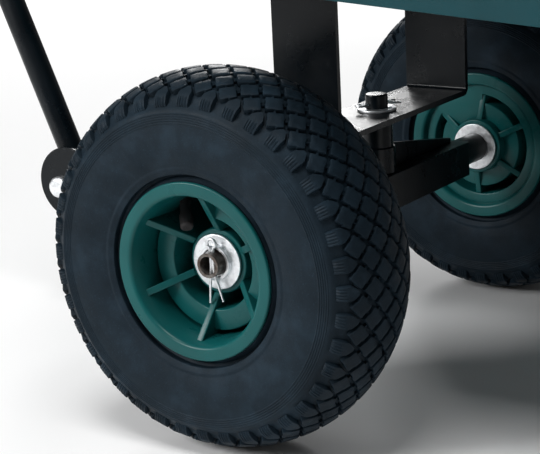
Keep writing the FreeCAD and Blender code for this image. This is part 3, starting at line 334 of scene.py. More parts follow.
def softened(node, body, material, width):
    """A copy of a frame node's mesh with its doubles merged and its flat faces made whole,
    whose edges a Bevel rounds by width."""
    copy = bmesh.new()
    copy.from_mesh(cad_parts[node].data)
    bmesh.ops.remove_doubles(copy, verts=copy.verts, dist=1e-6)
    bmesh.ops.dissolve_limit(copy, angle_limit=math.radians(0.6), verts=copy.verts, edges=copy.edges)
    mesh = bpy.data.meshes.new(node + "_finished")
    copy.to_mesh(mesh)
    copy.free()
    mesh.shade_smooth()
    mesh.set_sharp_from_angle(angle=math.radians(CREASE))
    mesh.materials.append(material)
    thing = bpy.data.objects.new(mesh.name, mesh)
    bpy.context.scene.collection.objects.link(thing)
    bevel = thing.modifiers.new("rounded_edges", "BEVEL")
    bevel.width = width * MM
    bevel.segments = 2
    bevel.limit_method = "ANGLE"
    bevel.angle_limit = math.radians(40.0)
    bevel.use_clamp_overlap = True
    bevel.harden_normals = False
    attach(thing, body)
    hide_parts(node)
    return thing


# ---- finishes ---------------------------------------------------------------------------------
class Finish:
    """A Principled material whose patterns read Object coordinates."""

    def __init__(self, name, colour, roughness, metallic=0.0, coat=0.0, specular=0.5):
        self.material = bpy.data.materials.new(name)
        self.material.use_nodes = True
        self.tree = self.material.node_tree
        self.shader = self.tree.nodes["Principled BSDF"]
        self.shader.inputs["Base Color"].default_value = (*colour, 1.0)
        self.shader.inputs["Roughness"].default_value = roughness
        self.shader.inputs["Metallic"].default_value = metallic
        self.shader.inputs["Coat Weight"].default_value = coat
        self.shader.inputs["Specular IOR Level"].default_value = specular
        self.coordinates = self.tree.nodes.new("ShaderNodeTexCoord")
        self.height = None

    def noise(self, scale, detail=3.0, rough=0.55, stretch=None):
        """Cloudy pattern, scale features per metre."""
        node = self.tree.nodes.new("ShaderNodeTexNoise")
        node.inputs["Scale"].default_value = scale
        node.inputs["Detail"].default_value = detail
        node.inputs["Roughness"].default_value = rough
        source = self.coordinates.outputs["Object"]
        if stretch is not None:
            mapping = self.tree.nodes.new("ShaderNodeMapping")
            mapping.inputs["Scale"].default_value = stretch
            self.tree.links.new(source, mapping.inputs["Vector"])
            source = mapping.outputs["Vector"]
        self.tree.links.new(source, node.inputs["Vector"])
        return node.outputs["Fac"]

    def cells(self, scale):
        """Crystal-like patches, scale per metre; the value is constant within a patch."""
        node = self.tree.nodes.new("ShaderNodeTexVoronoi")
        node.inputs["Scale"].default_value = scale
        self.tree.links.new(self.coordinates.outputs["Object"], node.inputs["Vector"])
        split = self.tree.nodes.new("ShaderNodeSeparateColor")
        self.tree.links.new(node.outputs["Color"], split.inputs["Color"])
        return split.outputs["Red"]

    def ramp(self, value, stops):
        """Colours by value: stops are (position, colour)."""
        node = self.tree.nodes.new("ShaderNodeValToRGB")
        elements = node.color_ramp.elements
        while len(elements) < len(stops):
            elements.new(0.5)
        for element, (position, colour) in zip(elements, stops):
            element.position = position
            element.color = (*colour, 1.0)
        self.tree.links.new(value, node.inputs["Fac"])
        return node.outputs["Color"]

    def spread(self, value, low, high, start=0.3, end=0.7):
        """Value stretched from start..end to low..high."""
        node = self.tree.nodes.new("ShaderNodeMapRange")
        node.inputs["From Min"].default_value = start
        node.inputs["From Max"].default_value = end
        node.inputs["To Min"].default_value = low
        node.inputs["To Max"].default_value = high
        self.tree.links.new(value, node.inputs["Value"])
        return node.outputs["Result"]

    def mixed(self, factor, first, second):
        """Colour between two others by factor; each is a socket or a colour."""
        node = self.tree.nodes.new("ShaderNodeMix")
        node.data_type = "RGBA"
        self.tree.links.new(factor, node.inputs["Factor"])
        for socket, colour in ((node.inputs[6], first), (node.inputs[7], second)):
            if isinstance(colour, tuple):
                socket.default_value = (*colour, 1.0)
            else:
                self.tree.links.new(colour, socket)
        return node.outputs[2]

    def colour(self, socket):
        self.tree.links.new(socket, self.shader.inputs["Base Color"])
        return self

    def gloss(self, socket):
        self.tree.links.new(socket, self.shader.inputs["Roughness"])
        return self

    def bump(self, value, depth, strength=1.0):
        """Adds relief of depth millimetres by value, on top of any relief before."""
        node = self.tree.nodes.new("ShaderNodeBump")
        node.inputs["Distance"].default_value = depth * MM
        node.inputs["Strength"].default_value = strength
        self.tree.links.new(value, node.inputs["Height"])
        if self.height is not None:
            self.tree.links.new(self.height, node.inputs["Normal"])
        self.height = node.outputs["Normal"]
        self.tree.links.new(self.height, self.shader.inputs["Normal"])
        return self


def shade(colour, factor):
    """The colour made lighter or darker by a factor."""
    return tuple(min(1.0, c * factor) for c in colour)


def tyre_rubber(colour):
    """Dusty blue-black rubber: broad clouds, fine specks and a grainy moulded skin."""
    finish = Finish("tyre_rubber", colour, 0.55, specular=0.10)
    clouds = finish.noise(38.0, 5.0, 0.62)
    base = finish.ramp(clouds, [(0.30, shade(colour, 0.72)), (0.52, colour), (0.74, shade(colour, 1.75))])
    specks = finish.spread(finish.noise(900.0, 2.0, 0.7), 0.0, 0.55, 0.60, 0.78)
    finish.colour(finish.mixed(specks, base, shade(colour, 2.6)))
    finish.gloss(finish.spread(finish.noise(70.0, 4.0), 0.42, 0.66))
    return finish.bump(finish.noise(1500.0, 3.0, 0.6), 0.12).bump(finish.noise(120.0, 3.0), 0.35).material


def moulded_plastic(name, colour, low, high, grain):
    """Injection-moulded plastic: faint tone drift and a fine grain of the given depth."""
    finish = Finish(name, colour, (low + high) / 2, specular=0.24)
    tone = finish.noise(14.0, 3.0)
    finish.colour(finish.ramp(tone, [(0.3, shade(colour, 0.86)), (0.7, shade(colour, 1.14))]))
    finish.gloss(finish.spread(finish.noise(60.0, 4.0), low, high))
    finish.bump(finish.noise(1800.0, 2.0, 0.5), grain)
    return finish.bump(finish.noise(45.0, 2.0), grain * 3).material


def powder_coat(colour):
    """Black powder coat: fine orange peel, a little dust and slightly uneven gloss."""
    finish = Finish("powder_coat", colour, 0.3, specular=0.22)
    dust = finish.spread(finish.noise(260.0, 4.0, 0.7), 0.0, 0.4, 0.62, 0.85)
    tone = finish.ramp(finish.noise(20.0, 3.0), [(0.3, shade(colour, 0.8)), (0.7, shade(colour, 1.35))])
    finish.colour(finish.mixed(dust, tone, (0.05, 0.055, 0.06)))
    finish.gloss(finish.spread(finish.noise(35.0, 4.0), 0.22, 0.40))
    return finish.bump(finish.noise(900.0, 2.0, 0.5), 0.05).bump(finish.noise(240.0, 2.0), 0.08).material


def plated_zinc(colour):
    """Bright zinc: spangled patches, cloudy stains and fine scratches."""
    finish = Finish("plated_zinc", colour, 0.3, metallic=1.0)
    patches = finish.ramp(finish.cells(420.0), [(0.0, shade(colour, 0.88)), (1.0, shade(colour, 1.1))])
    stains = finish.spread(finish.noise(140.0, 4.0, 0.6), 0.0, 0.35, 0.52, 0.72)
    finish.colour(finish.mixed(stains, patches, shade(colour, 0.6)))
    finish.gloss(finish.spread(finish.noise(300.0, 3.0), 0.3, 0.55))
    return finish.bump(finish.noise(700.0, 3.0, 0.6), 0.05).material


def raw_steel():
    """Drawn steel with a brown oxide film."""
    steel = (0.16, 0.15, 0.14)
    finish = Finish("raw_steel", steel, 0.42, metallic=0.85)
    rust = finish.spread(finish.noise(160.0, 5.0, 0.65), 0.0, 0.8, 0.42, 0.62)
    tone = finish.ramp(finish.noise(420.0, 3.0), [(0.3, shade(steel, 0.6)), (0.7, shade(steel, 1.5))])
    finish.colour(finish.mixed(rust, tone, (0.055, 0.026, 0.015)))
    finish.gloss(finish.spread(finish.noise(240.0, 4.0), 0.34, 0.62))
    return finish.bump(finish.noise(800.0, 4.0, 0.6), 0.1).material


def soft_rubber(name, colour, grain):
    """Matt moulded rubber for grips, rests and valve stems."""
    finish = Finish(name, colour, 0.6, specular=0.4)
    tone = finish.noise(60.0, 4.0)
    finish.colour(finish.ramp(tone, [(0.3, shade(colour, 0.75)), (0.7, shade(colour, 1.35))]))
    finish.gloss(finish.spread(finish.noise(110.0, 3.0), 0.5, 0.75))
    return finish.bump(finish.noise(1300.0, 2.0, 0.5), grain).material


FINISHES = {}


def finish(name):
    """The named material, made once from the cart's colours."""
    if not FINISHES:
        colours = bpy.context.scene.cart_colours
        FINISHES["rubber"] = tyre_rubber(tuple(colours.rubber))
        FINISHES["rim"] = moulded_plastic("rim_plastic", tuple(colours.rim_green), 0.26, 0.36, 0.02)
        FINISHES["tub"] = moulded_plastic("tub_plastic", tuple(colours.tub_green), 0.34, 0.5, 0.07)
        FINISHES["paint"] = powder_coat(tuple(colours.paint))
        FINISHES["zinc"] = plated_zinc(tuple(colours.zinc))
        FINISHES["steel"] = raw_steel()
        FINISHES["grip"] = soft_rubber("grip_rubber", (0.012, 0.012, 0.013), 0.15)
        FINISHES["valve"] = soft_rubber("valve_rubber", (0.020, 0.017, 0.018), 0.1)
        FINISHES["pad"] = soft_rubber("pad_rubber", (0.016, 0.016, 0.017), 0.2)
    return FINISHES[name]


# ---- tyre -------------------------------------------------------------------------------------
def arc_through(start, through, end, count):
    """Points of the circle through three points, evenly spaced by angle.

    The centre solves the two equations that put it as far from start as from the others."""
    a, b, c = (np.asarray(p, float) for p in (start, through, end))
    centre = np.linalg.solve(np.array([b - a, c - b]), np.array([b @ b - a @ a, c @ c - b @ b]) / 2)
    turn = np.unwrap([math.atan2(p[1] - centre[1], p[0] - centre[0]) for p in (a, b, c)])
    turn = np.linspace(turn[0], turn[2], count)
    return centre + np.linalg.norm(a - centre) * np.stack([np.cos(turn), np.sin(turn)], axis=-1)


TYRE_WALL = 7.5
BEAD_RADIUS = 59.0              # where the sidewall ends at the rim's flange
FLANGE_INSET = 3.3              # from the rim's side to the bead
SEAT_RADIUS = 51.2
SAMPLE = 0.25                   # spacing of the section's points


class TyreSection:
    """The tyre's outside from the crown to the bead, as a function of the distance along it.

    A crown arc and a sidewall arc meet at the shoulder, and a bell-shaped average over a few
    millimetres rounds the corner between them."""

    def __init__(self):
        shoulder = (TYRE_HALF - 5.0, TYRE_RADIUS - 11.0)
        bead = (RIM_HALF - FLANGE_INSET, BEAD_RADIUS)
        belly = (TYRE_HALF, (BEAD_RADIUS + TYRE_RADIUS) / 2 - 1.5)
        crown = arc_through((-shoulder[0], shoulder[1]), (0.0, TYRE_RADIUS), shoulder, 400)
        side = arc_through(shoulder, belly, bead, 400)[1:]
        half = np.vstack([crown[200:], side])
        line = np.vstack([half[::-1] * (-1, 1), half])
        length = np.concatenate([[0], np.cumsum(np.linalg.norm(np.diff(line, axis=0), axis=1))])
        even = np.arange(0.0, length[-1], SAMPLE)
        line = np.stack([np.interp(even, length, line[:, k]) for k in (0, 1)], axis=-1)
        reach = 24
        bell = np.exp(-0.5 * (np.arange(-reach, reach + 1) / 8.0) ** 2)
        bell /= bell.sum()
        ends = [line[:1] + (line[:1] - line[1:2]) * np.arange(reach, 0, -1)[:, None],
                line[-1:] + (line[-1:] - line[-2:-1]) * np.arange(1, reach + 1)[:, None]]
        padded = np.vstack([ends[0], line, ends[1]])
        line = np.stack([np.convolve(padded[:, k], bell, "valid") for k in (0, 1)], axis=-1)
        start = len(line) // 2
        self.line = line[start:]
        self.distance = np.arange(len(self.line)) * SAMPLE
        along = np.gradient(self.line, axis=0)
        along /= np.linalg.norm(along, axis=1, keepdims=True)
        self.normal = np.stack([-along[:, 1], along[:, 0]], axis=-1)

    def at(self, distance, height=0.0):
        """(across, out) at a signed distance from the crown and a height above the outside."""
        where, sign = np.abs(distance), np.where(np.asarray(distance) < 0, -1.0, 1.0)
        across = np.interp(where, self.distance, self.line[:, 0])
        out = np.interp(where, self.distance, self.line[:, 1])
        lean = np.interp(where, self.distance, self.normal[:, 0])
        rise = np.interp(where, self.distance, self.normal[:, 1])
        return sign * (across + height * lean), out + height * rise

    def distance_at(self, out):
        """Distance along the sidewall at which it is that far from the axle."""
        return float(np.interp(-out, -self.line[:, 1], self.distance))


def smooth_step(value):
    value = np.clip(value, 0.0, 1.0)
    return value * value * (3 - 2 * value)


def tyre_carcass(section, depth):
    """The tyre without its tread: lowered by the tread's depth between the shoulders, with fine
    raised lines on the sidewall, bead rings and a hollow inside."""
    ledge = section.distance_at(TYRE_RADIUS - 21.0)
    low_lines = section.distance_at(TYRE_RADIUS - 22.5) + 1.45 * np.arange(5)
    bead_lines = [section.distance_at(r) for r in (67.5, 62.6)]
    end = section.distance[-1]
    tread = np.linspace(0.0, ledge - 4.0, 20)
    fine = np.arange(ledge - 4.0, low_lines[-1] + 1.5, 0.24)
    rest = np.linspace(low_lines[-1] + 1.5, bead_lines[0] - 2.0, 16)[1:]
    bead = np.linspace(bead_lines[0] - 2.0, end, 18)[1:]
    where = np.concatenate([tread, fine, rest, bead])
    height = -depth * (1 - smooth_step((where - ledge + 8.0) / 9.0))
    for centre in low_lines:
        height += 0.42 * np.exp(-((where - centre) / 0.36) ** 2)
    collar, recess = ((where - line) / width for line, width in zip(bead_lines, (1.5, 2.2)))
    height += 0.8 * smooth_step(collar) - 4.0 * smooth_step(recess)
    across, out = section.at(where, height)
    wall_distance = np.linspace(0.0, section.distance_at(70.0), 16)[::-1]
    wall_across, wall_out = section.at(wall_distance, -TYRE_WALL)
    toe = RIM_HALF - FLANGE_INSET
    seat = [[toe - 0.1, BEAD_RADIUS - 1.2], [toe - 0.3, SEAT_RADIUS], [19.7, SEAT_RADIUS], [19.7, 66.0]]
    half = np.concatenate([np.stack([across, out], -1), seat, np.stack([wall_across, wall_out], -1)[:-1]])
    other = half[::-1] * (-1, 1)
    loop = np.vstack([half, [[0.0, float(section.at(0.0, -TYRE_WALL)[1])]], other[:-1]])
    return spun(loop, 240)


def tread_points(section, distance, turn, height):
    """Points above the tyre's outside at a distance from the crown and a turn about the axle."""
    return turned(*section.at(distance, height), turn)


def tread_blocks(section, sizes):
    """Diamond blocks in seven staggered rows, each a stack of outlines drawn in at its top, with
    a small step halfway along every side, and tie bars across the grooves."""
    half_pitch = math.pi * TYRE_RADIUS / sizes.blocks
    reach = half_pitch - sizes.groove / math.sqrt(2)
    corner = np.array([[1.0, 0.0], [0.0, 1.0], [-1.0, 0.0], [0.0, -1.0]]) * reach
    share = np.array([0.07, 0.46, 0.54, 0.93])[None, :, None]
    step = np.array([0.32, 0.32, -0.32, -0.32])[None, :, None]
    following = np.roll(corner, -1, axis=0)
    square = np.stack([following[:, 1] - corner[:, 1], corner[:, 0] - following[:, 0]], axis=-1)
    square /= np.linalg.norm(square, axis=1, keepdims=True)
    outline = corner[:, None] * (1 - share) + following[:, None] * share + step * square[:, None]
    outline = outline.reshape(-1, 2)
    wide = np.array([1.05, 1.0, 0.965, 0.905, 0.5])[:, None, None] * outline[None]
    height = np.array([-sizes.tread_depth - 0.5, -0.55, -0.14, 0.0, 0.0])[:, None]
    rows = np.arange(-3, 4)
    across = (rows * half_pitch)[:, None] + np.zeros(sizes.blocks)
    turn = (np.arange(sizes.blocks)[None] + 0.5 * (rows % 2)[:, None]) * (2 * math.pi / sizes.blocks)
    distance = across.reshape(-1, 1, 1) + wide[None, ..., 0]
    angle = turn.reshape(-1, 1, 1) + wide[None, ..., 1] / TYRE_RADIUS
    blocks = tubes(tread_points(section, distance, angle, height[None]))
    bar = np.array([[-2.2, -0.6], [2.2, -0.6], [2.2, 0.6], [-2.2, 0.6]])
    low = np.array([-sizes.tread_depth - 0.4, -sizes.tread_depth * 0.45])[:, None]
    bars = []
    for sign in (-1.0, 1.0):
        lean = np.stack([bar[:, 0] - sign * bar[:, 1], sign * bar[:, 0] + bar[:, 1]], axis=-1)
        lean /= math.sqrt(2)
        start = across[:-1].reshape(-1, 1, 1) + half_pitch / 2 + lean[None, None, :, 0]
        swing = turn[:-1].reshape(-1, 1, 1) + (sign * half_pitch / 2 + lean[None, None, :, 1]) / TYRE_RADIUS
        start, swing = (np.repeat(a, 2, axis=1) for a in (start, swing))
        bars.append(tubes(tread_points(section, start, swing, low[None])))
    return [blocks] + bars


def shoulder_lugs(section, sizes):
    """Arrow-shaped lugs over both shoulders.

    Along the lug the half width grows from the tip and then stays; across it the height rises
    steeply from the groove, carries fine ribs towards the sidewall and fades at its foot."""
    half_pitch = math.pi * TYRE_RADIUS / sizes.blocks
    tip = 3.05 * half_pitch
    foot = section.distance_at(TYRE_RADIUS - 19.5)
    along = np.array([0.0, 0.02, 0.06, 0.14, 0.22, 0.3, 0.4, 0.5, 0.58, 0.66,
                      0.75, 0.84, 0.92, 0.97, 1.0])[:, None]
    side = np.array([-1.06, -1.0, -0.9, -0.72, -0.6, -0.48, -0.36, -0.24, -0.12, 0.0,
                     0.12, 0.24, 0.36, 0.48, 0.6, 0.72, 0.9, 1.0, 1.06])[None]
    distance = tip + (foot - tip) * along + 0 * side
    half_width = np.minimum(5.4, 0.4 + 0.86 * (distance - tip))
    depth = sizes.tread_depth
    edge = smooth_step((1.06 - np.abs(side)) / 0.1)
    edge = edge * smooth_step(along / 0.05) * smooth_step((1.0 - along) / 0.12)
    ribs = 0.35 * np.cos(side * math.pi * 5.0) * smooth_step((along - 0.52) / 0.06)
    notch = 1.3 * smooth_step(0.5 - np.abs(along - 0.36) / 0.05)
    notch = notch * smooth_step((0.75 - np.abs(side)) / 0.1)
    height = -depth - 0.4 + (depth + 0.4 - 0.35 + ribs - notch) * edge
    top_angle = half_width * side / TYRE_RADIUS
    under = np.full_like(height[:, :2], -depth - 1.2)
    distance = np.concatenate([distance, distance[:, :2]], axis=1)
    top_angle = np.concatenate([top_angle, top_angle[:, -1:] * 0.4, top_angle[:, :1] * 0.4], axis=1)
    height = np.concatenate([height, under], axis=1)
    turn = (np.arange(sizes.blocks) * (2 * math.pi / sizes.blocks))[:, None, None]
    place = distance[None] + 0 * turn
    swing = turn + top_angle[None]
    return [tubes(tread_points(section, sign * place, swing, height[None])) for sign in (-1.0, 1.0)]


def tyre_shells(sizes):
    section = TyreSection()
    carcass = tyre_carcass(section, sizes.tread_depth)
    return [carcass] + tread_blocks(section, sizes) + shoulder_lugs(section, sizes)


# ---- rim --------------------------------------------------------------------------------------
RIB_PHASE = 146.0               # degrees about the axle to the first rib
VALVE_TURN = 130.0              # degrees about the axle to the valve
FLANGE_RADIUS = 57.5
BARREL_RADIUS = 50.6
WEB_WALL = 3.5
WEB_FACE = -30.0
WEB_INNER, WEB_OUTER = 20.0, 48.0
BAND_FACE = 17.0
BAND_INNER, BAND_OUTER = 30.0, 43.5
HUB_RADIUS = 21.0
HUB_NEAR, HUB_FAR = -41.0, 10.0
HUB_POCKET, HUB_BORE = 17.7, 13.6
RIB_FOOT, RIB_TIP = 20.6, 47.2


def swung(profile, first, last, count):
    """A closed (across, out) outline turned about the axle from one angle to another, in degrees,
    and closed at both ends."""
    turn = np.radians(np.linspace(first, last, count))[:, None]
    return tubes(turned(profile[None, :, 0], profile[None, :, 1], turn)[None])


def rim_shells(sizes):
    """Barrel with its two flanges, web, hub and ribs, each a closed outline spun about the axle
    or a flat plate set on edge between hub and barrel.

    The web carries a raised band except in the one space between ribs that holds the valve."""
    half, seat = RIM_HALF, BARREL_RADIUS
    flange = FLANGE_RADIUS
    barrel = rounded([(half, 48.6), (half, flange), (half - 2.9, flange), (half - 3.2, seat), (0.0, seat),
                      (-half + 3.2, seat), (-half + 2.9, flange), (-half, flange), (-half, 48.6),
                      (-half + 8, 46.6), (0.0, 46.2), (half - 9, 46.8)],
                     [2.6, 1.9, 1.2, 1.5, 1.0, 1.5, 1.2, 1.9, 2.6, 4.0, 3.0, 6.0], 6)
    face, back = WEB_FACE, WEB_FACE - WEB_WALL
    under = BAND_FACE - WEB_WALL
    first, last = BAND_INNER + WEB_WALL, BAND_OUTER - WEB_WALL
    banded = rounded([(face, WEB_INNER), (face, BAND_INNER), (BAND_FACE, BAND_INNER), (BAND_FACE, BAND_OUTER),
                      (face, BAND_OUTER), (face, WEB_OUTER), (back, WEB_OUTER), (back, last),
                      (under, last), (under, first), (back, first), (back, WEB_INNER)], 1.0, 3)
    flat = rounded([(face, WEB_INNER), (face, WEB_OUTER), (back, WEB_OUTER), (back, WEB_INNER)], 0.5, 2)
    space = 360.0 / sizes.ribs
    hub = rounded([(HUB_FAR, HUB_RADIUS), (HUB_FAR, HUB_POCKET), (-1.0, HUB_POCKET), (-1.0, HUB_BORE),
                   (-30.0, HUB_BORE), (-30.0, HUB_POCKET), (HUB_NEAR, HUB_POCKET), (HUB_NEAR, HUB_RADIUS),
                   (-30.0, 21.6), (2.0, 21.6)], [1.2, 0.5, 0.4, 0.4, 0.4, 0.4, 0.5, 1.2, 2.0, 2.0], 4)
    outline = rounded([(RIB_FOOT, -38.0), (RIB_TIP, -30.0), (RIB_TIP, half - 7.5), (RIB_FOOT, 11.2)], 0.5, 2)
    shells = [spun(barrel, 180), swung(banded, RIB_PHASE, RIB_PHASE + 360.0 - space, 140),
              swung(flat, RIB_PHASE - space, RIB_PHASE, 30), spun(hub, 96)]
    for k in range(sizes.ribs):
        points, faces = slab(outline, sizes.rib_thickness, 0.6)
        shells.append(changed((points[:, [0, 2, 1]], faces), turned_y(RIB_PHASE + 360.0 * k / sizes.ribs)))
    return shells


def valve_shells():
    """Rubber stem with a flared foot and a fluted cap, spun about its own slanting axis."""
    foot = np.array([49.0, 0.0, 0.0])
    lean = np.array([-0.78, 0.63, 0.0])
    length, stem, cap = 27.0, 3.6, 4.5
    profile = rounded([(0.0, 0.05), (0.0, 5.0), (2.5, 4.8), (5.0, stem), (length - 10, stem),
                       (length - 10, cap), (length - 1, 4.3), (length, 3.2), (length, 0.05)], 0.6, 3)
    count = 40
    turn = np.arange(count) * (2 * math.pi / count)
    fluted = (profile[:, :1] > length - 9.5) & (profile[:, 1:] > 4.0)
    out = profile[:, 1:] * (1 + 0.035 * np.cos(turn * 12)[None] * fluted)
    across = np.cross(lean, [0.0, 0.0, 1.0])
    axes = np.stack([across, lean, [0.0, 0.0, 1.0]], axis=-1)
    shell = tubes(turned(profile[:, :1], out, turn)[None])
    return [changed(changed(shell, axes, foot), turned_y(VALVE_TURN))]


def wheel_piece(name, shells, material, end, side_name, side, node):
    """Puts wheel shells at a wheel's centre, mirrored for the left side."""
    mirror = np.diag([1.0, side, 1.0])
    centre = wheel_centre(end, side_name)
    placed = [changed(shell, mirror, centre) for shell in shells]
    label = "{}_{}_{}".format(name, end, side_name)
    return piece(label, placed, material, "wheel_{}_{}".format(end, side_name),
                 ["{}_{}_{}".format(node, end, side_name)])


# ---- fittings ---------------------------------------------------------------------------------
def ring(centre, axis, outer, inner, low, high, edge=0.5, count=72):
    """Washer or tube: a rounded rectangle spun about an axis, y or z, between two heights."""
    profile = rounded([(high, outer), (low, outer), (low, inner), (high, inner)], edge, 3)
    shell = spun(profile, count)
    if axis == "z":
        shell = changed(shell, [[1, 0, 0], [0, 0, 1], [0, 1, 0]])
    return changed(shell, None, centre)


def split_pin(shaft, reach, spread, wire=1.05):
    """Split pin in the XZ plane: one leg's tip, up through the shaft, round the eye and down to
    the other leg's tip. The path is a line of points joined by rounded corners, and a circle of
    the wire's radius is carried along it, drawn in at both tips."""
    turn = np.linspace(-60.0, 240.0, 26)
    eye = np.stack([3.1 * np.cos(np.radians(turn)), 3.1 * np.sin(np.radians(turn)) + shaft + 5.0], axis=-1)
    lean = math.tan(math.radians(spread))
    apart = 0.95
    right = [(reach * lean * 0.95 + 0.6, -reach * 0.92), (shaft * 0.12 + 1.0, -shaft - 0.5),
             (apart, -shaft * 0.4), (apart, shaft + 0.6)]
    left = [(-apart, shaft + 0.6), (-apart, -shaft * 0.4), (-shaft * 0.1 - 1.0, -shaft - 0.5),
            (-reach * lean * 0.35 - 0.6, -reach)]
    corner = rounded(np.array(right + list(eye) + left), 1.6, 3, closed=False)
    path = np.stack([corner[:, 0], 0 * corner[:, 0], corner[:, 1]], axis=-1)
    scale = np.ones(len(path))
    scale[[0, -1]] = 0.75
    return swept(path, circle(wire, 12), (0.0, 1.0, 0.0), scale)


# ---- tub --------------------------------------------------------------------------------------
TUB_WALL = 4.0
TUB_LIP = 12.0
TUB_SKIRT = 12.0
TUB_EDGE_Z = 280.5
TUB_SLOPES = {"front": 58.0, "rear": 118.0, "side": 38.0}
LOWER_CORNER, UPPER_CORNER = 50.0, 80.0
FLOOR_KINK = float(KING[0]) + 240.0
FLOOR_RISE = 0.0727
SKIRT_INSIDE = 194.0


def rounded_rectangle(x0, x1, half, corner):
    """Ring of points: four quarter turns of radius corner joined by straight sides."""
    turn = np.radians(np.linspace(0.0, 90.0, 15))
    centres = [(x1 - corner, half - corner, 0), (x0 + corner, half - corner, 90),
               (x0 + corner, corner - half, 180), (x1 - corner, corner - half, 270)]
    arcs = [np.stack([cx + corner * np.cos(turn + math.radians(start)),
                      cy + corner * np.sin(turn + math.radians(start))], -1) for cx, cy, start in centres]
    parts = []
    for k, count in enumerate((44, 20, 44, 20)):
        share = (np.arange(1, count) / count)[:, None]
        parts += [arcs[k], arcs[k][-1] * (1 - share) + arcs[(k + 1) % 4][0] * share]
    return np.vstack(parts)


def tub_shells(sizes):
    """The tub as one closed stack of rings: under the floor from its middle, down and round the
    skirts, up the outside, over the rolled rim, down the inside and back to the floor's middle.

    A wall ring lies between the lower outline B and the upper outline T at B + s (T - B), and s
    is where the wall meets the sloping lower edge, so the rings follow that edge."""
    rim_z = float(TUB_HIGH[2])
    x0, x1, half = float(TUB_LOW[0]), float(TUB_HIGH[0]), float(TUB_HIGH[1])
    deep = rim_z - TUB_EDGE_Z

    def edge_z(x):
        return TUB_EDGE_Z + FLOOR_RISE * np.maximum(0.0, FLOOR_KINK - x)

    def outlines(inset):
        low = rounded_rectangle(x0 + TUB_LIP + TUB_SLOPES["front"] + inset,
                                x1 - TUB_LIP - TUB_SLOPES["rear"] - inset,
                                half - TUB_LIP - TUB_SLOPES["side"] - inset, LOWER_CORNER - inset)
        high = rounded_rectangle(x0 + TUB_LIP + inset, x1 - TUB_LIP - inset, half - TUB_LIP - inset,
                                 UPPER_CORNER - inset)
        return low, high

    def wall(inset, rise):
        """Ring on the wall, rise above the lower edge."""
        low, high = outlines(inset)
        run = high[:, 0] - low[:, 0]
        level = rise / deep
        sloped = (FLOOR_RISE * (FLOOR_KINK - low[:, 0]) + rise) / (deep + FLOOR_RISE * run)
        share = np.where(low[:, 0] + level * run < FLOOR_KINK, sloped, level)[:, None]
        flat = low + share * (high - low)
        return np.column_stack([flat, TUB_EDGE_Z + share[:, 0] * deep])

    def wall_at(inset, z):
        low, high = outlines(inset)
        share = (z - TUB_EDGE_Z) / deep
        flat = low + share * (high - low)
        return np.column_stack([flat, np.full(len(flat), z)])

    def lip(inset, z):
        flat = rounded_rectangle(x0 + inset, x1 - inset, half - inset, UPPER_CORNER + TUB_LIP - inset)
        return np.column_stack([flat, np.full(len(flat), z)])

    foot = outlines(0.0)[0]
    skirted = smooth_step((np.abs(foot[:, 1]) - SKIRT_INSIDE) / 5.0)
    bottom = TUB_SKIRT * (1 - skirted)
    rings = []
    inner = wall(3.0, bottom)
    inner[:, 1] = np.clip(inner[:, 1], -SKIRT_INSIDE, SKIRT_INSIDE)
    centre = np.array([(x0 + x1) / 2, 0.0])
    for share in (0.02, 0.2, 0.4, 0.6, 0.8, 0.93, 0.985, 1.0):
        flat = centre + share * (inner[:, :2] - centre)
        rings.append(np.column_stack([flat, edge_z(flat[:, 0]) + TUB_SKIRT]))
    for drop in (0.7, 0.0):
        ring_points = inner.copy()
        ring_points[:, 1] += np.sign(inner[:, 1]) * skirted * (0.7 - drop)
        ring_points[:, 2] = edge_z(ring_points[:, 0]) + bottom + drop * skirted
        rings.append(ring_points)
    rings += [wall(0.8, bottom), wall(0.23, bottom + 0.23), wall(0.0, bottom + 0.8)]
    top = rim_z - TUB_WALL
    start = wall(0.0, bottom + 0.8)
    under_lip = wall_at(0.0, top - 3.0)
    for share in np.linspace(0.0, 1.0, 16)[1:]:
        rings.append(start + share * (under_lip - start))
    rings += [wall_at(-0.9, top - 0.9), wall_at(-3.0, top)]
    under = rim_z - TUB_LIP
    rings += [lip(TUB_WALL + 2.0, top), lip(TUB_WALL + 0.6, top - 0.6), lip(TUB_WALL, top - 2.0),
              lip(TUB_WALL, under + 1.0), lip(TUB_WALL - 0.7, under + 0.3), lip(TUB_WALL - 1.5, under),
              lip(1.2, under), lip(0.35, under + 0.35), lip(0.0, under + 1.2)]
    curve = np.radians(np.linspace(0.0, 90.0, 7))
    r = sizes.lip_round
    rings += [lip(r * (1 - math.cos(a)), rim_z - r + r * math.sin(a)) for a in curve]
    rings += [wall_at(TUB_WALL - r * (1 - math.cos(a)), rim_z - r + r * math.sin(a)) for a in curve[::-1]]
    big = sizes.floor_round
    inside_top = wall_at(TUB_WALL, rim_z - r)
    inside_foot = wall(TUB_WALL, TUB_SKIRT + TUB_WALL + big)
    for share in np.linspace(0.0, 1.0, 14)[1:]:
        rings.append(inside_top + share * (inside_foot - inside_top))
    for a in np.radians(np.linspace(0.0, 90.0, 9))[1:]:
        rise = TUB_SKIRT + TUB_WALL + big * (1 - math.sin(a))
        rings.append(wall(TUB_WALL + big * (1 - math.cos(a)), rise))
    floor_ring = rings[-1]
    for share in (0.985, 0.93, 0.8, 0.6, 0.4, 0.2, 0.02):
        flat = centre + share * (floor_ring[:, :2] - centre)
        rings.append(np.column_stack([flat, edge_z(flat[:, 0]) + TUB_SKIRT + TUB_WALL]))
    return [tubes(np.array(rings)[None])]


PIN_HOLE = 8.05                 # radius of the washers' hole, just over the 16 mm pins
WASHER_RADIUS = 18.0
HUB_TO_WASHER = 58.6            # from the axle's end to the inner face of the inner washer
KING_WASHER = 14.0
KING_RADIUS = 8.0
KING_FOOT = 136.0               # height where the bare end of the kingpin starts


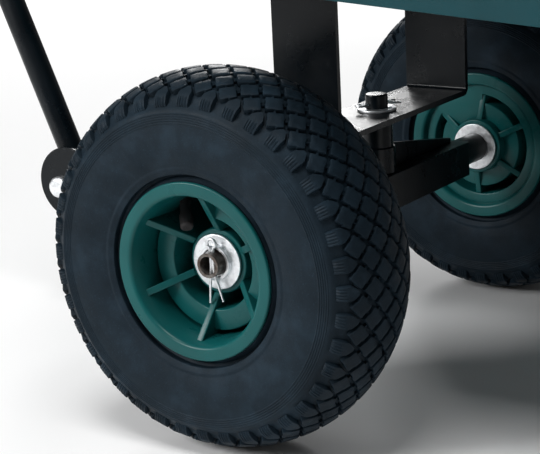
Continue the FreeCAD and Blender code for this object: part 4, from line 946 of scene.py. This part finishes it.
# ---- operators --------------------------------------------------------------------------------
class CART_OT_tyres(bpy.types.Operator):
    """Makes the four pneumatic tyres with their block tread"""
    bl_idname = "cart.tyres"
    bl_label = "Tyres"

    def execute(self, context):
        shells = tyre_shells(context.scene.cart_wheels)
        for end in ENDS:
            for side_name, side in SIDES:
                wheel_piece("tread_tyre", shells, finish("rubber"), end, side_name, side, "tyre")
        return {"FINISHED"}


class CART_OT_rims(bpy.types.Operator):
    """Makes the four moulded rims and their valve stems"""
    bl_idname = "cart.rims"
    bl_label = "Rims and valves"

    def execute(self, context):
        rim, valve = rim_shells(context.scene.cart_wheels), valve_shells()
        for end in ENDS:
            for side_name, side in SIDES:
                wheel_piece("moulded_rim", rim, finish("rim"), end, side_name, side, "rim")
                wheel_piece("valve_stem", valve, finish("valve"), end, side_name, side, "valve")
        return {"FINISHED"}


class CART_OT_tub(bpy.types.Operator):
    """Makes the moulded tub"""
    bl_idname = "cart.tub"
    bl_label = "Tub"

    def execute(self, context):
        piece("moulded_tub", tub_shells(context.scene.cart_body), finish("tub"), "tub", ["tub"], 30.0)
        return {"FINISHED"}


class CART_OT_steelwork(bpy.types.Operator):
    """Rounds the edges of the painted sheet and tube pieces"""
    bl_idname = "cart.steelwork"
    bl_label = "Steelwork"

    def execute(self, context):
        width = context.scene.cart_body.steel_edge
        painted = {
            "chassis": ("side_rail_left", "side_rail_right", "front_cross_member", "rear_cross_member",
                        "steering_strap", "rear_strap", "rear_braces", "latch_brackets"),
            "steering": ("axle_beam", "beam_gussets", "steering_post", "tongue"),
            "handle": ("handle_clevis",),
            "tub": ("tub_hinge_plates", "latch_striker"),
            "latch": ("latch_lever",),
        }
        for body, nodes in painted.items():
            for node in nodes:
                softened(node, body, finish("paint"), width)
        for node, body in (("strap_bolts", "chassis"), ("tub_bolts", "tub")):
            softened(node, body, finish("zinc"), width)
        softened("handle_pivot_bolt", "handle", finish("zinc"), width)
        return {"FINISHED"}


class CART_OT_fittings(bpy.types.Operator):
    """Makes the washers, split pins and kingpin"""
    bl_idname = "cart.fittings"
    bl_label = "Fittings"

    def execute(self, context):
        for end, body in (("front", "steering"), ("rear", "chassis")):
            low, high = corners(end + "_axle_washers")
            centre = (low + high) / 2
            rings, pins = [], []
            half = (high[1] - low[1]) / 2
            for sign in (-1.0, 1.0):
                flip = np.diag([1.0, sign, 1.0])
                deep = half - HUB_TO_WASHER
                plate = [ring((0, 0, 0), "y", WASHER_RADIUS, PIN_HOLE, half - 5.0, half - 3.0),
                         ring((0, 0, 0), "y", 11.5, 9.3, half - 3.2, half, 0.4),
                         ring((0, 0, 0), "y", WASHER_RADIUS, PIN_HOLE, deep, half - 56.6)]
                rings += [changed(shell, flip, centre) for shell in plate]
                pins.append(changed(split_pin(8.0, 26.0, 15.0), None, centre + (0, sign * (half + 1.6), 0)))
            piece(end + "_hub_washers", rings, finish("zinc"), body, [end + "_axle_washers"])
            piece(end + "_split_pins", pins, finish("zinc"), body, [end + "_axle_cotter_pins"])
        king = np.array([KING[0], 0.0, 0.0])
        washers = [ring(king, "z", KING_WASHER, PIN_HOLE, STRAP_TOP, STRAP_TOP + 2.0),
                   ring(king, "z", KING_WASHER, PIN_HOLE, STRAP_TOP - 6.0, STRAP_TOP - 4.0)]
        piece("king_washers", washers, finish("zinc"), "steering", ["kingpin_washers"])
        profile = rounded([(KING_FOOT, 0.05), (KING_FOOT, KING_RADIUS), (KING_TOP, KING_RADIUS),
                           (KING_TOP, 0.05)], [0.1, 0.1, 1.4, 0.1], 5)
        turn = np.arange(64) * (2 * math.pi / 64)
        out = profile[:, 1:]
        stub = np.stack([out * np.cos(turn), out * np.sin(turn), profile[:, :1] + 0 * turn], axis=-1)
        stub = changed(tubes(stub[None]), None, king)
        piece("king_stub", [stub], finish("paint"), "steering", ["kingpin"])
        lay = turned_z(-30.0) @ np.array([[1.0, 0.0, 0.0], [0.0, 0.0, -1.0], [0.0, 1.0, 0.0]])
        pin = changed(split_pin(8.0, 17.0, 24.0), lay, (KING[0], 0.0, STRAP_TOP + 4.8))
        piece("king_split_pin", [pin], finish("zinc"), "steering", ["kingpin_cotter_pin"])
        return {"FINISHED"}


class CART_OT_frame_finishes(bpy.types.Operator):
    """Gives the frame nodes that stay visible their finishes"""
    bl_idname = "cart.frame_finishes"
    bl_label = "Frame finishes"

    def execute(self, context):
        by_finish = {
            "steel": ("front_axle", "rear_axle", "tub_hinge_pin", "tongue_bush"),
            "paint": ("handle_tube", "handle_loop", "front_axle_spacers", "rear_axle_spacers"),
            "zinc": ("hinge_pin_clips", "latch_pin"),
            "pad": ("rubber_rests",),
            "grip": ("handle_grip",),
        }
        chosen = {node: finish(name) for name, nodes in by_finish.items() for node in nodes}
        for node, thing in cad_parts.items():
            if node.startswith("bearings_"):
                material = finish("steel")
            elif node.startswith("inner_tube_"):
                material = finish("pad")
            else:
                material = chosen.get(node)
            if material is None:
                continue
            if not thing.material_slots:
                thing.data.materials.append(material)
            for slot in thing.material_slots:
                slot.material = material
        return {"FINISHED"}


CAMERA_PLACE = (0.5577, -1.082, 0.440)
LAMPS = (                       # name, place, aim, size, power
    ("key_panel", (-1.6, -2.2, 1.5), (0.0, -0.2, 0.15), 1.1, 62.0),
    ("back_panel", (-1.9, 2.3, 1.25), (-0.1, 0.0, 0.15), 0.7, 36.0),
    ("top_panel", (0.0, -0.9, 2.8), (0.0, -0.2, 0.0), 1.2, 42.0),
)


class CART_OT_stage(bpy.types.Operator):
    """Sets the floor, the soft lights and the camera"""
    bl_idname = "cart.stage"
    bl_label = "Stage"

    def execute(self, context):
        stage, scene = context.scene.cart_stage, context.scene
        mesh = bpy.data.meshes.new("studio_floor")
        mesh.from_pydata([(-9, -9, 0), (9, -9, 0), (9, 9, 0), (-9, 9, 0)], [], [(0, 1, 2, 3)])
        tone = stage.floor_tone
        plain = bpy.data.materials.new("studio_floor")
        plain.use_nodes = True
        surface = plain.node_tree.nodes["Principled BSDF"].inputs
        surface["Base Color"].default_value = (tone, tone, tone, 1.0)
        surface["Roughness"].default_value = 0.9
        surface["Specular IOR Level"].default_value = 0.1
        mesh.materials.append(plain)
        floor = bpy.data.objects.new("studio_floor", mesh)
        scene.collection.objects.link(floor)
        world = bpy.data.worlds.new("studio_light")
        world.use_nodes = True
        background = world.node_tree.nodes["Background"]
        background.inputs["Color"].default_value = (1.0, 1.0, 1.0, 1.0)
        path = world.node_tree.nodes.new("ShaderNodeLightPath")
        strength = world.node_tree.nodes.new("ShaderNodeMapRange")
        strength.inputs["To Min"].default_value = stage.sky
        strength.inputs["To Max"].default_value = 1.0
        world.node_tree.links.new(path.outputs["Is Camera Ray"], strength.inputs["Value"])
        world.node_tree.links.new(strength.outputs["Result"], background.inputs["Strength"])
        scene.world = world
        scene.view_settings.view_transform = "Standard"
        for name, place, aim, size, power in LAMPS:
            lamp = bpy.data.lights.new(name, "AREA")
            lamp.energy = power
            lamp.size = size
            thing = bpy.data.objects.new(name, lamp)
            thing.location = place
            thing.rotation_euler = (Vector(aim) - Vector(place)).to_track_quat("-Z", "Y").to_euler()
            scene.collection.objects.link(thing)
        a, e, r = stage.azimuth, stage.elevation, stage.roll
        ahead = Vector((-math.sin(a) * math.cos(e), math.cos(a) * math.cos(e), -math.sin(e)))
        level = Vector((math.cos(a), math.sin(a), 0.0))
        upright = level.cross(ahead)
        right = level * math.cos(r) + upright * math.sin(r)
        up = right.cross(ahead)
        camera = bpy.data.cameras.new("view_camera")
        camera.sensor_width = 36.0
        camera.lens = stage.lens
        thing = bpy.data.objects.new("view_camera", camera)
        rotation = Matrix((right, up, -ahead)).transposed()
        thing.matrix_world = Matrix.Translation(CAMERA_PLACE) @ rotation.to_4x4()
        scene.collection.objects.link(thing)
        scene.camera = thing
        return {"FINISHED"}


class CART_PT_panel(bpy.types.Panel):
    """Lists the cart's sizes, colours and pieces"""
    bl_idname = "CART_PT_panel"
    bl_label = "Garden dump cart"
    bl_space_type = "VIEW_3D"
    bl_region_type = "UI"
    bl_category = "Cart"

    def draw(self, context):
        layout = self.layout
        for group in ("cart_wheels", "cart_body", "cart_colours", "cart_stage"):
            settings = getattr(context.scene, group)
            box = layout.box()
            for field in settings.bl_rna.properties.keys():
                if field not in ("rna_type", "name"):
                    box.prop(settings, field)
        for operator in OPERATORS:
            layout.operator(operator.bl_idname)


GROUPS = {"cart_wheels": CartWheelSizes, "cart_body": CartBodySizes, "cart_colours": CartColours,
          "cart_stage": CartStage}
OPERATORS = (CART_OT_stage, CART_OT_tyres, CART_OT_rims, CART_OT_tub, CART_OT_steelwork, CART_OT_fittings,
             CART_OT_frame_finishes)


def register():
    for group in GROUPS.values():
        bpy.utils.register_class(group)
    for operator in OPERATORS:
        bpy.utils.register_class(operator)
    bpy.utils.register_class(CART_PT_panel)
    for name, group in GROUPS.items():
        setattr(bpy.types.Scene, name, PointerProperty(type=group))


def unregister():
    for name in GROUPS:
        delattr(bpy.types.Scene, name)
    for item in (CART_PT_panel, *OPERATORS, *GROUPS.values()):
        bpy.utils.unregister_class(item)


def main():
    register()
    for operator in OPERATORS:
        group, name = operator.bl_idname.split(".")
        getattr(getattr(bpy.ops, group), name)()


if __name__ == "__main__":
    main()
